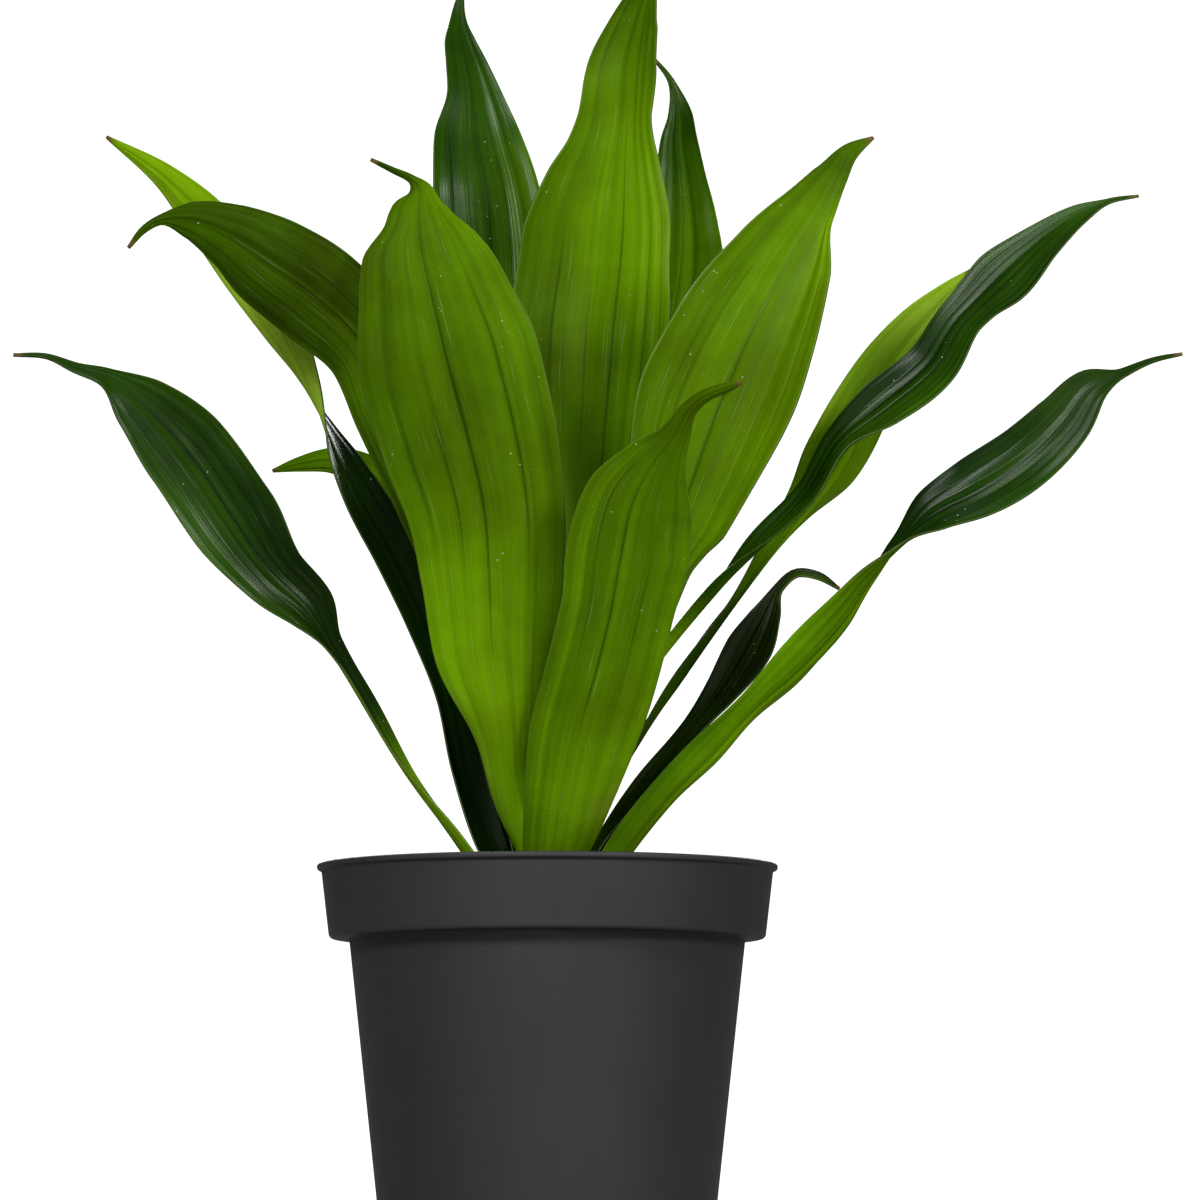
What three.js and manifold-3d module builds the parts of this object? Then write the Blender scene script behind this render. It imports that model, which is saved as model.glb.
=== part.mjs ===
// A dragon tree (Dracaena) in a round plastic nursery pot: the pot, its potting soil, a short stem
// and one solid for each leaf.
// Millimetres, +Z up, +X right, +Y away from the front. The origin is the middle of the pot's underside.
import * as THREE from "three";
import { mergeVertices } from "three/addons/utils/BufferGeometryUtils.js";
import Module from "manifold-3d";

const wasm = await Module();
wasm.setup();

const degrees = THREE.MathUtils.degToRad;
const CLEARANCE = 0.3; // left between neighbouring pieces that rest on each other

// ---------------------------------------------------------------- driving dimensions

const pot = {
  height: 150,
  rimRadius: 85, // outside of the rolled lip
  bandTopRadius: 83.3,
  bandFootRadius: 80.4,
  bandDepth: 27.5, // the thick band under the lip
  bodyTopRadius: 73,
  footRadius: 59.7,
  wall: 1.5,
  floor: 1.8,
  grooveInner: 25, // the raised ring in the underside that holds the drain holes
  grooveOuter: 47,
  grooveDepth: 2.5,
  drainHoles: 8,
  drainRadius: 4,
  sides: 48,
};

const soil = { level: 115, lump: 1.6, rings: 9 };

const stem = { foot: 74, radius: 9, firstNode: 119, tip: 170, tipRadius: 2.8, sides: 24 };

const blade = {
  edge: 0.75, // thickness at the margin
  tipShare: 0.85, // of that thickness, at the very tip
  rib: 0.5, // extra thickness along the midrib of the blade
  baseRib: 0.5, // extra thickness along the midrib where the leaf clasps the stem
  sheath: 32, // length over which a leaf stops clasping the stem
  across: 6, // faces across the blade
  step: 14, // length of a face along the blade
};

// One entry for each leaf, oldest first.
//   node      height on the stem where it grows
//   azimuth   side of the stem it grows from: 0 right, 90 back, 180 left, -90 front
//   clasp     half-width where it wraps the stem
//   ripple    [height, count, phase] of the waves along its margins
//   stations  x, y, z of the midrib, the half-widths on its two sides, the way its upper side
//             faces, and how far each half curls up. Facing is 0 to the front, 90 to the right,
//             -90 to the left and 180 to the back.
const leaves = {
  leaf_right_low: {
    node: 119, azimuth: -18, clasp: 8, ripple: [1.6, 4, 0.2],
    stations: [
      [29, -9, 154, 9, 9, -125, 55],
      [45, -14, 174, 8.5, 8.5, -130, 55],
      [60, -18, 189, 9.5, 9.5, -138, 55],
      [76, -22, 206, 8, 8, -132, 55],
      [91, -25, 219, 9.4, 10, -130, 55],
      [108, -28, 237, 11.2, 11, -124, 50],
      [119, -30, 253, 9, 10, -107, 45],
      [129, -32, 265, 8.5, 8.5, -75, 40],
      [142, -34, 276, 12.4, 13.2, -40, 32],
      [158, -36, 284, 14.6, 13.5, -28, 25],
      [176, -38, 296, 13.6, 12.2, -20, 20],
      [189, -40, 309, 11.8, 10.7, -15, 20],
      [199, -41, 322, 7.5, 7.5, -15, 20],
      [210, -42, 327.2, 1.8, 2.2, -15, 20],
      [222, -43, 332, 1, 1, -15, 20],
      [232, -44, 334, 0.6, 0.6, -15, 20],
    ],
  },
  leaf_left_low: {
    node: 121, azimuth: -168, clasp: 8, ripple: [1.2, 4, 0.6],
    stations: [
      [-32, -6, 155, 7, 7, 95, 50],
      [-52.6, -12, 184, 4.6, 4.6, 75, 60],
      [-71, -20, 215, 4.8, 4.8, 55, 50],
      [-79.2, -24, 229.2, 5.6, 5.6, 40, 40],
      [-87, -28, 242, 10.5, 10.5, 20, 35],
      [-100, -32, 254, 12.5, 12.5, 5, 25],
      [-115, -38, 275, 17, 17, 0, 20],
      [-131, -42, 298, 16.5, 16.5, -5, 18],
      [-148, -44, 316, 11.5, 10.6, 0, 20],
      [-161, -44, 326, 4.5, 3, 10, 25],
      [-172, -43, 329.6, 2.8, 1.3, 10, 25],
      [-183, -42, 333.4, 1, 0.9, 10, 20],
      [-195, -41, 334, 0.6, 0.6, 10, 20],
    ],
  },
  leaf_rear_centre: {
    node: 124, azimuth: 92, clasp: 8, ripple: [1.5, 3, 0.1],
    stations: [
      [2, 30, 156, 8, 8, 0, 55],
      [4, 52, 190, 7, 7, 0, 50],
      [6, 76, 225, 9, 9, 0, 40],
      [8, 104, 256, 15, 15, 0, 28],
      [10, 134, 280, 20, 20, 0, 22],
      [11, 166, 294, 20, 20, 0, 20],
      [11, 196, 297, 14, 14, 0, 20],
      [10, 220, 290, 6, 6, 0, 20],
      [8, 236, 281, 0.6, 0.6, 0, 20],
    ],
  },
  leaf_right_short: {
    node: 127, azimuth: -8, clasp: 7, ripple: [0.8, 3, 0.3],
    stations: [
      [20, -3, 155, 6, 6, -70, 50],
      [36, -1, 177, 6.5, 6.5, -55, 50],
      [53, -1, 198, 6.5, 6.5, -45, 40],
      [65, 0, 213, 8, 8, -35, 30],
      [75, 1, 229, 10, 10, -30, 25],
      [81, 2, 242, 6.5, 6.5, -25, 25],
      [86, 3, 253, 2.2, 2.2, -25, 25],
      [92, 2, 258, 2, 2, -25, 25],
      [100, 0, 257, 1.8, 1.8, -25, 25],
      [108, -2, 252, 0.6, 0.6, -25, 25],
    ],
  },
  leaf_left_twisted: {
    node: 130, azimuth: 172, clasp: 8, ripple: [1, 4, 0.4],
    stations: [
      [-22, 2, 155, 8, 8, 40, 50],
      [-31, 5, 185, 9, 9, 38, 45],
      [-37, 9, 214, 8, 8, 35, 35],
      [-46, 13, 240, 8.5, 8.5, 32, 28],
      [-58, 16, 266, 10.5, 10.5, 35, 25],
      [-71, 18, 289, 13, 13, 50, 25],
      [-78, 19, 303, 13, 13, 65, 25],
      [-84, 20, 317, 11, 11, 88, 25],
      [-91, 21, 333, 9, 9, 115, 25],
      [-102, 23, 355, 11, 11, 138, 25],
      [-116, 26, 377, 11.5, 11.5, 150, 25],
      [-131, 28, 396, 9.5, 9.5, 150, 25],
      [-145, 30, 411, 5.5, 5.5, 150, 25],
      [-167, 32, 427, 0.6, 0.6, 150, 25],
    ],
  },
  leaf_rear_right: {
    node: 132, azimuth: 62, clasp: 6, ripple: [1.4, 3, 0.5],
    stations: [
      [14, 23, 157, 8, 8, -30, 55],
      [22, 40, 190, 7, 7, -25, 50],
      [31, 59, 226, 9, 9, -20, 40],
      [42, 80, 262, 14, 14, -15, 30],
      [54, 101, 294, 18, 18, -10, 24],
      [64, 123, 318, 18, 18, -5, 20],
      [72, 146, 332, 13, 13, 0, 20],
      [77, 167, 334, 6, 6, 0, 20],
      [80, 184, 328, 0.6, 0.6, 0, 20],
    ],
  },
  leaf_rear_left: {
    node: 136, azimuth: 112, clasp: 6, ripple: [1.4, 3, 0.8],
    stations: [
      [-13, 22, 158, 7, 7, 30, 55],
      [-22, 36, 190, 7, 7, 25, 50],
      [-29, 54, 224, 9, 9, 20, 40],
      [-35, 75, 256, 14, 14, 15, 30],
      [-40, 98, 282, 18, 18, 10, 24],
      [-43, 122, 300, 18, 18, 5, 20],
      [-44, 146, 308, 13, 13, 0, 20],
      [-43, 168, 304, 6, 6, 0, 20],
      [-41, 186, 295, 0.6, 0.6, 0, 20],
    ],
  },
  leaf_right_pale: {
    node: 138, azimuth: 36, clasp: 7, ripple: [1, 4, 0.7],
    stations: [
      [15, 12, 155, 6, 6, -55, 60],
      [23, 16, 177, 6, 6, -70, 55],
      [35, 18, 198, 5.5, 5.5, -80, 55],
      [51.4, 22, 222.4, 6.4, 5, -96, 55],
      [67.6, 27, 246.4, 5.6, 5, -96, 55],
      [83, 31, 268, 7.6, 7, -104, 50],
      [95, 34, 284, 10.4, 9.5, -125, 40],
      [108, 36, 304, 16.4, 14.6, -140, 30],
      [118, 38, 324, 15, 12.6, -145, 25],
      [129, 40, 342, 11, 11, -145, 25],
      [140, 42, 356, 9, 9, -145, 25],
      [152, 43, 369, 5, 5, -145, 25],
      [160, 44, 378, 0.6, 0.6, -145, 25],
    ],
  },
  leaf_front_short: {
    node: 139, azimuth: -80, clasp: 10, ripple: [0.8, 3, 0],
    stations: [
      [6, -18, 160, 17, 17, -172, 60],
      [9, -27, 176, 18.5, 18.5, -175, 40],
      [13, -35, 194, 20.5, 20.5, -178, 30],
      [19, -42, 214, 21, 21, -180, 25],
      [25, -49, 237, 21, 21, -180, 22],
      [29, -57, 257, 23, 23, -180, 22],
      [33, -65, 276, 20.5, 20.5, -180, 22],
      [39, -72, 289, 13, 13, -180, 22],
      [46, -79, 299, 6, 6, -175, 22],
      [52, -86, 309, 3, 3, -165, 25],
      [58, -90, 313, 2.4, 2.4, -155, 30],
      [64, -92, 315, 2.2, 2.2, -150, 30],
      [70, -94, 317, 0.6, 0.6, -150, 30],
    ],
  },
  leaf_left_short: {
    node: 142, azimuth: 146, clasp: 7, ripple: [0.8, 3, 0.2],
    stations: [
      [-12, 12, 159, 7, 7, 60, 60],
      [-20, 20, 188, 8, 8, 75, 50],
      [-30, 28, 222, 10, 10, 90, 40],
      [-43, 37, 255, 11, 11, 110, 30],
      [-57, 45, 284, 11, 11, 130, 25],
      [-70, 50, 301, 8, 8, 145, 25],
      [-82, 54, 306, 5.5, 5.5, 150, 25],
      [-95, 56, 305, 3, 3, 150, 25],
      [-105, 58, 303, 0.6, 0.6, 150, 25],
    ],
  },
  leaf_right_high: {
    node: 145, azimuth: 0, clasp: 7, ripple: [1.6, 5, 0.1],
    stations: [
      [13, 0, 165, 6, 6, -85, 60],
      [21, 6, 190, 6, 6, -95, 55],
      [33, 8, 214, 6, 6, -105, 55],
      [49, 9, 236, 5.5, 5.5, -105, 55],
      [62, 8, 251, 5, 5, -90, 55],
      [79, 6, 269, 6, 6, -65, 50],
      [97, 3, 287, 8, 8, -50, 45],
      [110, 0, 307, 9, 9, -45, 40],
      [126, -3, 319, 12.5, 12.5, -40, 35],
      [144, -6, 334, 13.5, 13.5, -40, 30],
      [155, -8, 351, 12.5, 12.2, -40, 30],
      [160.5, -8.8, 356.2, 13.6, 11.9, -40, 30],
      [170, -10, 365, 15.5, 15.5, -40, 30],
      [184, -11, 379, 10.5, 10.5, -40, 30],
      [198, -12, 390, 5.5, 5.5, -40, 30],
      [208, -13, 395, 1.5, 1.5, -40, 30],
      [219, -14, 397, 0.6, 0.6, -40, 30],
    ],
  },
  leaf_front_broad: {
    node: 146, azimuth: -124, clasp: 8, ripple: [1.2, 4, 0.4],
    stations: [
      [-11, -12, 167, 14, 14, 155, 70],
      [-14, -18, 182, 13, 13, 160, 55],
      [-16, -25, 200, 17, 17, 165, 45],
      [-20, -31, 226, 24.5, 24.5, 170, 35],
      [-21, -36, 252, 27.5, 27.5, 172, 28],
      [-23, -41, 278, 30, 30, 174, 24],
      [-29, -45, 304, 33, 33, 175, 20],
      [-36, -48, 330, 34, 34, 175, 20],
      [-42, -49, 355, 28.5, 28.5, 175, 20],
      [-46, -48, 373, 22.5, 22.5, 175, 20],
      [-47, -46.5, 383, 15.5, 12.6, 175, 20],
      [-47, -45, 388, 11, 10.8, 175, 20],
      [-47, -41, 395, 5, 4.8, 175, 20],
      [-50, -36, 399.6, 1.8, 1.3, 175, 20],
      [-57, -32, 403.8, 1, 1, 175, 20],
      [-65, -30, 408, 0.6, 0.6, 175, 20],
    ],
  },
  leaf_back_left: {
    node: 149, azimuth: 112, clasp: 6, ripple: [1.6, 4, 0.5],
    stations: [
      [-7, 12, 163, 6, 6, 25, 70],
      [-10, 23, 188, 8, 8, 22, 55],
      [-12, 35, 229, 11, 11, 15, 40],
      [-14, 45, 270, 15, 15, 10, 30],
      [-18, 55, 311, 19, 19, 10, 25],
      [-21, 63, 352, 22, 22, 10, 22],
      [-22, 68, 385, 23, 23, 8, 20],
      [-24, 72, 412, 22, 20.5, 5, 20],
      [-28, 76, 434, 17.5, 17, 5, 20],
      [-30, 80, 453, 10, 10.8, 5, 20],
      [-32, 83, 464, 8.6, 7.8, 5, 20],
      [-34, 86, 473, 7, 5.5, 5, 20],
      [-35, 89, 482, 3.8, 2.8, 5, 20],
      [-34, 92, 497, 0.6, 0.6, 5, 20],
    ],
  },
  leaf_left_arching: {
    node: 151, azimuth: -170, clasp: 6, ripple: [1.4, 4, 0.6],
    stations: [
      [-9, -3, 168, 9, 9, 115, 70],
      [-15, -7, 188, 12, 12, 125, 55],
      [-26, -12, 218, 13, 13, 135, 40],
      [-35, -19, 251, 12, 12, 145, 30],
      [-47, -22, 285, 13, 13, 150, 25],
      [-59, -24, 315, 16, 16, 155, 25],
      [-68, -26, 340, 17.5, 17.5, 160, 25],
      [-86, -28, 358, 20, 20, 160, 25],
      [-102, -30, 369, 18.5, 18.5, 160, 25],
      [-117, -31, 379, 13, 13, 160, 25],
      [-132, -31, 385, 7, 7, 160, 25],
      [-143, -31, 385, 1.8, 1.8, 160, 25],
      [-148, -31, 382, 1.4, 1.4, 160, 25],
      [-154, -31, 375, 0.6, 0.6, 160, 25],
    ],
  },
  leaf_back_right: {
    node: 154, azimuth: 70, clasp: 5, ripple: [1.2, 4, 0.3],
    stations: [
      [7, 14, 166, 5, 5, -25, 70],
      [12, 25, 190, 7, 7, -22, 55],
      [19, 33, 229, 10, 10, -15, 40],
      [25, 43, 270, 13, 13, -12, 30],
      [34, 52, 311, 15, 15, -10, 25],
      [44, 59, 348, 17, 17, -10, 22],
      [50, 63, 378, 16.5, 17.5, -8, 20],
      [51, 66, 400, 13.5, 13.6, -5, 20],
      [50, 68, 419, 9.5, 9.7, -5, 20],
      [49, 70, 432, 6.6, 7.9, -5, 20],
      [49, 71, 442, 3.6, 6, -5, 20],
      [47, 73, 455, 1.5, 1.5, -5, 20],
      [40, 75, 465, 0.6, 0.6, -5, 20],
    ],
  },
  leaf_right_broad: {
    node: 157, azimuth: -4, clasp: 6, ripple: [1.2, 4, 0.9],
    stations: [
      [8, -2, 172, 7, 7, -70, 75],
      [13, -2, 184, 10, 10, -55, 60],
      [25, -4, 207, 13, 11, -40, 45],
      [40, -6, 240, 17, 8.5, -30, 40],
      [46, -7.5, 258, 21.5, 9.5, -28, 39],
      [49.4, -8.2, 267, 24, 13.5, -26.5, 38.5],
      [53, -9, 276, 27, 19.5, -25, 38],
      [71, -11, 320, 38, 26.5, -22, 38],
      [82, -12, 346, 35, 23, -20, 36],
      [94, -12, 371, 27, 14.5, -20, 34],
      [103, -11, 389, 19.5, 3.4, -20, 30],
      [109, -10, 404, 11, 2.6, -20, 30],
      [113, -9, 413, 5.5, 2.4, -20, 30],
      [121, -8, 420, 0.6, 0.6, -20, 30],
    ],
  },
  leaf_centre_tall: {
    node: 161, azimuth: 124, clasp: 5, ripple: [1.4, 4, 0.2],
    stations: [
      [0, 9, 176, 8, 8, 5, 80],
      [2, 12, 190, 9, 9, 0, 60],
      [8, 17, 220, 13, 13, -5, 45],
      [16, 20, 255, 22, 22, -12, 40],
      [19, 23, 288, 30, 29, -20, 42],
      [22, 25, 322, 37, 34, -25, 45],
      [25, 26, 356, 42, 37, -27, 48],
      [28, 26, 386, 40, 32, -27, 48],
      [29, 25, 412, 30, 22, -27, 48],
      [29.5, 24.5, 425, 22.4, 16.4, -27, 46.5],
      [30, 24, 434, 19.6, 14.4, -27, 45],
      [31, 23, 453, 17, 16, -25, 40],
      [34, 22, 468, 12, 12, -20, 35],
      [37, 20, 480, 7, 5, -15, 30],
      [38, 18, 491, 0.6, 0.6, -15, 30],
    ],
  },
  leaf_spear: {
    node: 166, azimuth: 210, clasp: 6, ripple: [0, 1, 0],
    stations: [
      [-4, -2.3, 178, 12, 12, 120, 150],
      [-4, -2.3, 205, 12, 12, 120, 150],
      [-5, -2, 235, 9, 9, 110, 150],
      [-5.5, -2.5, 262, 5, 5, 110, 140],
      [-6.5, -3, 284, 0.8, 0.8, 110, 100],
    ],
  },
};

// ---------------------------------------------------------------- smooth curves through stations

// Slopes of a curve through values at knots. A level slope at each peak and dip, where wanted,
// keeps widths and angles from swinging past their stated values.
function slopes(knots, values, level) {
  const steps = knots.slice(1).map((knot, i) => knot - knots[i]);
  const rises = steps.map((step, i) => (values[i + 1] - values[i]) / step);
  return knots.map((knot, i) => {
    if (i === 0) return rises[0];
    if (i === knots.length - 1) return rises[i - 1];
    const [before, after] = [rises[i - 1], rises[i]];
    const [near, far] = [steps[i - 1], steps[i]];
    if (!level) return (before * far + after * near) / (near + far);
    if (before * after <= 0) return 0;
    return (3 * (near + far)) / ((2 * far + near) / before + (far + 2 * near) / after);
  });
}

function curve(knots, values, level) {
  const m = slopes(knots, values, level);
  return (t) => {
    let i = 0;
    while (i < knots.length - 2 && t > knots[i + 1]) i++;
    const h = knots[i + 1] - knots[i];
    const u = (t - knots[i]) / h;
    return (
      values[i] * (1 + 2 * u) * (1 - u) ** 2 +
      m[i] * h * u * (1 - u) ** 2 +
      values[i + 1] * u * u * (3 - 2 * u) +
      m[i + 1] * h * u * u * (u - 1)
    );
  };
}

// ---------------------------------------------------------------- leaves

// Radius of the stem at a height above its first leaf.
function stemRadius(z) {
  const share = THREE.MathUtils.clamp((z - stem.firstNode) / (stem.tip - stem.firstNode), 0, 1);
  return stem.radius - (stem.radius - stem.tipRadius) * share ** 1.5;
}

// The leaf's middle surface: a function of the length t along the midrib and of v, from -1 at one
// margin to 1 at the other.
function leafSurface(leaf) {
  const out = degrees(leaf.azimuth);
  const reach = stemRadius(leaf.node) + CLEARANCE + (blade.edge + blade.baseRib) / 2;
  const root = [reach * Math.cos(out), reach * Math.sin(out), leaf.node];
  const rows = [[...root, leaf.clasp, leaf.clasp, leaf.azimuth - 90, 90], ...leaf.stations];
  const turns = Math.round((rows[1][5] - rows[0][5]) / 360);
  rows[0][5] += 360 * turns; // the same way round, stated within half a turn of the first station
  const knots = [0];
  rows.slice(1).forEach(([x, y, z], i) => {
    knots.push(knots[i] + Math.hypot(x - rows[i][0], y - rows[i][1], z - rows[i][2]));
  });
  const column = (i, level) => curve(knots, rows.map((row) => row[i]), level);
  const [x, y, z] = [0, 1, 2].map((i) => column(i, false));
  const [near, far, facing, curl] = [3, 4, 5, 6].map((i) => column(i, true));
  const length = knots.at(-1);
  const midrib = (t) => new THREE.Vector3(x(t), y(t), z(t));
  // Facing is measured from the front, or for a leaf that leans back, from the front and above.
  const front = new THREE.Vector3(0, -1, Math.sin(out) > 0.7 ? 1 : 0).normalize();
  const [rippleHeight, ripples, phase] = leaf.ripple;

  const at = (t, v) => {
    const centre = midrib(t);
    const along = midrib(Math.min(t + 0.5, length)).sub(midrib(Math.max(t - 0.5, 0))).normalize();
    const ahead = front.clone().addScaledVector(along, -front.dot(along)).normalize();
    const up = ahead.clone().applyAxisAngle(along, degrees(facing(t)));
    const side = along.clone().cross(up);
    const half = v < 0 ? near(t) : far(t);
    const bend = Math.max(degrees(curl(t)), 0.01);
    const radius = half / bend;
    const share = t / length;
    const wave = rippleHeight * Math.sin(Math.PI * share) ** 2 * Math.abs(v) ** 3;
    const lift = wave * Math.sin(2 * Math.PI * (ripples * share + phase + (v > 0 ? 0.3 : 0)));
    const open = centre
      .clone()
      .addScaledVector(side, Math.sign(v) * radius * Math.sin(bend * Math.abs(v)))
      .addScaledVector(up, radius * (1 - Math.cos(bend * v)) + lift);
    // Near the stem the leaf is a sheath: its midrib swept round the stem's axis.
    const turn = (-v * half) / Math.hypot(centre.x, centre.y);
    const sheath = centre.clone().applyAxisAngle(new THREE.Vector3(0, 0, 1), turn);
    return sheath.lerp(open, THREE.MathUtils.smoothstep(t, 0, blade.sheath));
  };
  return { at, length };
}

function thickness(t, v) {
  const rib = THREE.MathUtils.lerp(blade.baseRib, blade.rib, THREE.MathUtils.smoothstep(t, 0, 90));
  return blade.edge + rib * (1 - v * v) ** 2;
}

// A closed solid with the leaf's thickness on both sides of its middle surface. Both faces are
// split into triangles the same way.
function leafGeometry(leaf) {
  const { at, length } = leafSurface(leaf);
  const along = Math.round(length / blade.step);
  const { across } = blade;
  const positions = [];
  const pairs = [];
  for (let i = 0; i <= along; i++) {
    const t = (length * i) / along;
    for (let j = 0; j <= across; j++) {
      const v = (2 * j) / across - 1;
      const here = at(t, v);
      const du = at(Math.min(t + 1, length), v).sub(at(Math.max(t - 1, 0), v));
      const dv = at(t, Math.min(v + 0.05, 1)).sub(at(t, Math.max(v - 0.05, -1)));
      const normal = dv.cross(du).normalize();
      const half = (thickness(t, v) / 2) * (i === along ? blade.tipShare : 1);
      pairs.push([here.clone().addScaledVector(normal, half), here.addScaledVector(normal, -half)]);
    }
  }
  pairs.forEach(([top, bottom]) => positions.push(...top.toArray(), ...bottom.toArray()));
  const top = (i, j) => 2 * (i * (across + 1) + j);
  const bottom = (i, j) => top(i, j) + 1;
  const index = [];
  const quad = (a, b, c, d) => index.push(a, b, c, a, c, d);
  for (let i = 0; i < along; i++)
    for (let j = 0; j < across; j++) {
      quad(top(i, j), top(i, j + 1), top(i + 1, j + 1), top(i + 1, j));
      index.push(bottom(i, j), bottom(i + 1, j + 1), bottom(i, j + 1));
      index.push(bottom(i, j), bottom(i + 1, j), bottom(i + 1, j + 1));
    }
  for (let i = 0; i < along; i++) {
    quad(bottom(i, 0), top(i, 0), top(i + 1, 0), bottom(i + 1, 0));
    quad(top(i, across), bottom(i, across), bottom(i + 1, across), top(i + 1, across));
  }
  for (let j = 0; j < across; j++) {
    quad(bottom(0, j), bottom(0, j + 1), top(0, j + 1), top(0, j));
    quad(top(along, j), top(along, j + 1), bottom(along, j + 1), bottom(along, j));
  }
  return new THREE.BufferGeometry()
    .setAttribute("position", new THREE.Float32BufferAttribute(positions, 3))
    .setIndex(index);
}

// ---------------------------------------------------------------- turned pieces

// A solid turned about the vertical axis from a closed outline of [radius, height] points.
function turned(outline, sides) {
  const profile = outline.map(([r, z]) => new THREE.Vector2(r, z));
  return new THREE.LatheGeometry(profile, sides).rotateX(Math.PI / 2);
}

function solidOf(geometry) {
  const plain = geometry.clone();
  plain.deleteAttribute("normal");
  plain.deleteAttribute("uv");
  const merged = mergeVertices(plain, 1e-3);
  return new wasm.Manifold(
    new wasm.Mesh({
      numProp: 3,
      vertProperties: merged.attributes.position.array,
      triVerts: new Uint32Array(merged.index.array),
    }),
  );
}

function geometryOf(solid) {
  const mesh = solid.getMesh();
  return new THREE.BufferGeometry()
    .setAttribute("position", new THREE.BufferAttribute(mesh.vertProperties, 3))
    .setIndex(new THREE.BufferAttribute(mesh.triVerts, 1));
}

const bandFoot = pot.height - pot.bandDepth;
const wallLean = (pot.bodyTopRadius - pot.footRadius) / bandFoot;

// Radius of the pot's inner wall, below the band.
const innerRadius = (z) => pot.footRadius + wallLean * z - pot.wall;

function potGeometry() {
  const { wall, floor, grooveInner, grooveOuter, grooveDepth, height } = pot;
  const ramp = 2; // the groove's sloping sides
  const lip = 1.7;
  const outline = [
    [0, 0],
    [grooveInner, 0],
    [grooveInner + ramp, grooveDepth],
    [grooveOuter - ramp, grooveDepth],
    [grooveOuter, 0],
    [pot.footRadius - 1, 0],
    [pot.footRadius, 1],
    [pot.bodyTopRadius, bandFoot],
    [pot.bandFootRadius - 1.4, bandFoot],
    [pot.bandFootRadius, bandFoot + 1.4],
    [pot.bandTopRadius, height - 2.6],
    [pot.rimRadius, height - lip],
    [pot.rimRadius, height - 0.6],
    [pot.rimRadius - 0.8, height],
    [pot.bandTopRadius - wall, height],
    [pot.bandFootRadius - wall, bandFoot + 1.4 + wall],
    [innerRadius(bandFoot), bandFoot + wall],
    [innerRadius(floor + 1), floor + 1],
    [innerRadius(floor) - 1, floor],
    [grooveOuter + wall / 2, floor],
    [grooveOuter - ramp + wall / 2, grooveDepth + floor],
    [grooveInner + ramp - wall / 2, grooveDepth + floor],
    [grooveInner - wall / 2, floor],
    [0, floor],
  ];
  let solid = solidOf(turned(outline, pot.sides));
  const middle = (grooveInner + grooveOuter) / 2;
  for (let i = 0; i < pot.drainHoles; i++) {
    const angle = (2 * Math.PI * (i + 0.5)) / pot.drainHoles;
    const hole = new THREE.CylinderGeometry(pot.drainRadius, pot.drainRadius, 20, 16)
      .rotateX(Math.PI / 2)
      .translate(middle * Math.cos(angle), middle * Math.sin(angle), 0);
    solid = solid.subtract(solidOf(hole));
  }
  return geometryOf(solid);
}

// Height of the soil's crumbs and hollows above its level.
function soilRelief(x, y) {
  const r = Math.hypot(x, y);
  const lumps =
    Math.sin(0.21 * x + 1.3) * Math.cos(0.17 * y + 0.4) +
    0.6 * Math.sin(0.43 * x - 0.31 * y) +
    0.5 * Math.cos(0.52 * y + 0.19 * x + 2);
  return soil.lump * lumps * THREE.MathUtils.smoothstep(r, stem.radius, stem.radius + 8) - 0.02 * r;
}

function soilGeometry() {
  const { grooveInner, grooveOuter, grooveDepth, wall, floor } = pot;
  const bottom = floor + CLEARANCE;
  const rim = innerRadius(soil.level - 3) - CLEARANCE;
  const hole = stem.radius + CLEARANCE;
  const outline = [
    [0, bottom],
    [grooveInner - wall, bottom],
    [grooveInner + 1, bottom + grooveDepth],
    [grooveOuter - 1, bottom + grooveDepth],
    [grooveOuter + wall, bottom],
    [innerRadius(bottom) - 1.5, bottom],
    [innerRadius(6) - CLEARANCE, 6],
    [rim, soil.level - 3],
  ];
  for (let i = 0; i <= soil.rings; i++) {
    outline.push([THREE.MathUtils.lerp(rim - 1.5, hole, i / soil.rings), soil.level]);
  }
  outline.push([hole, stem.foot - CLEARANCE], [0, stem.foot - CLEARANCE]);
  const geometry = turned(outline, pot.sides);
  const place = geometry.attributes.position;
  for (let i = 0; i < place.count; i++) {
    const [x, y, z] = [place.getX(i), place.getY(i), place.getZ(i)];
    if (Math.abs(z - soil.level) < 0.01) place.setZ(i, z + soilRelief(x, y));
  }
  return geometry;
}

function stemGeometry() {
  const outline = [[0, stem.foot], [stem.radius - 2, stem.foot], [stem.radius, stem.foot + 2]];
  const steps = 9;
  for (let i = 0; i <= steps; i++) {
    const z = THREE.MathUtils.lerp(stem.firstNode - 5, stem.tip, i / steps);
    outline.push([stemRadius(z), z]);
  }
  outline.push([stem.tipRadius * 0.6, stem.tip + 1.2], [0, stem.tip + 1.6]);
  return turned(outline, stem.sides);
}

// ---------------------------------------------------------------- the plant

const finish = {
  pot: { color: "#3a3a3a", roughness: 0.55 },
  soil: { color: "#3a2a1c", roughness: 1 },
  stem: { color: "#8a8a55", roughness: 0.7 },
  mature: { color: "#1f5a17", roughness: 0.35 },
  young: { color: "#5c9412", roughness: 0.4 },
};
const young = [
  "leaf_front_short",
  "leaf_front_broad",
  "leaf_right_broad",
  "leaf_centre_tall",
  "leaf_spear",
];

function piece(name, geometry, kind) {
  const mesh = new THREE.Mesh(geometry, new THREE.MeshStandardMaterial({ ...finish[kind], metalness: 0 }));
  mesh.name = name;
  return mesh;
}

const plant = new THREE.Group();
plant.add(
  piece("pot", potGeometry(), "pot"),
  piece("soil", soilGeometry(), "soil"),
  piece("stem", stemGeometry(), "stem"),
);
for (const [name, leaf] of Object.entries(leaves)) {
  plant.add(piece(name, leafGeometry(leaf), young.includes(name) ? "young" : "mature"));
}

export default plant;
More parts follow.
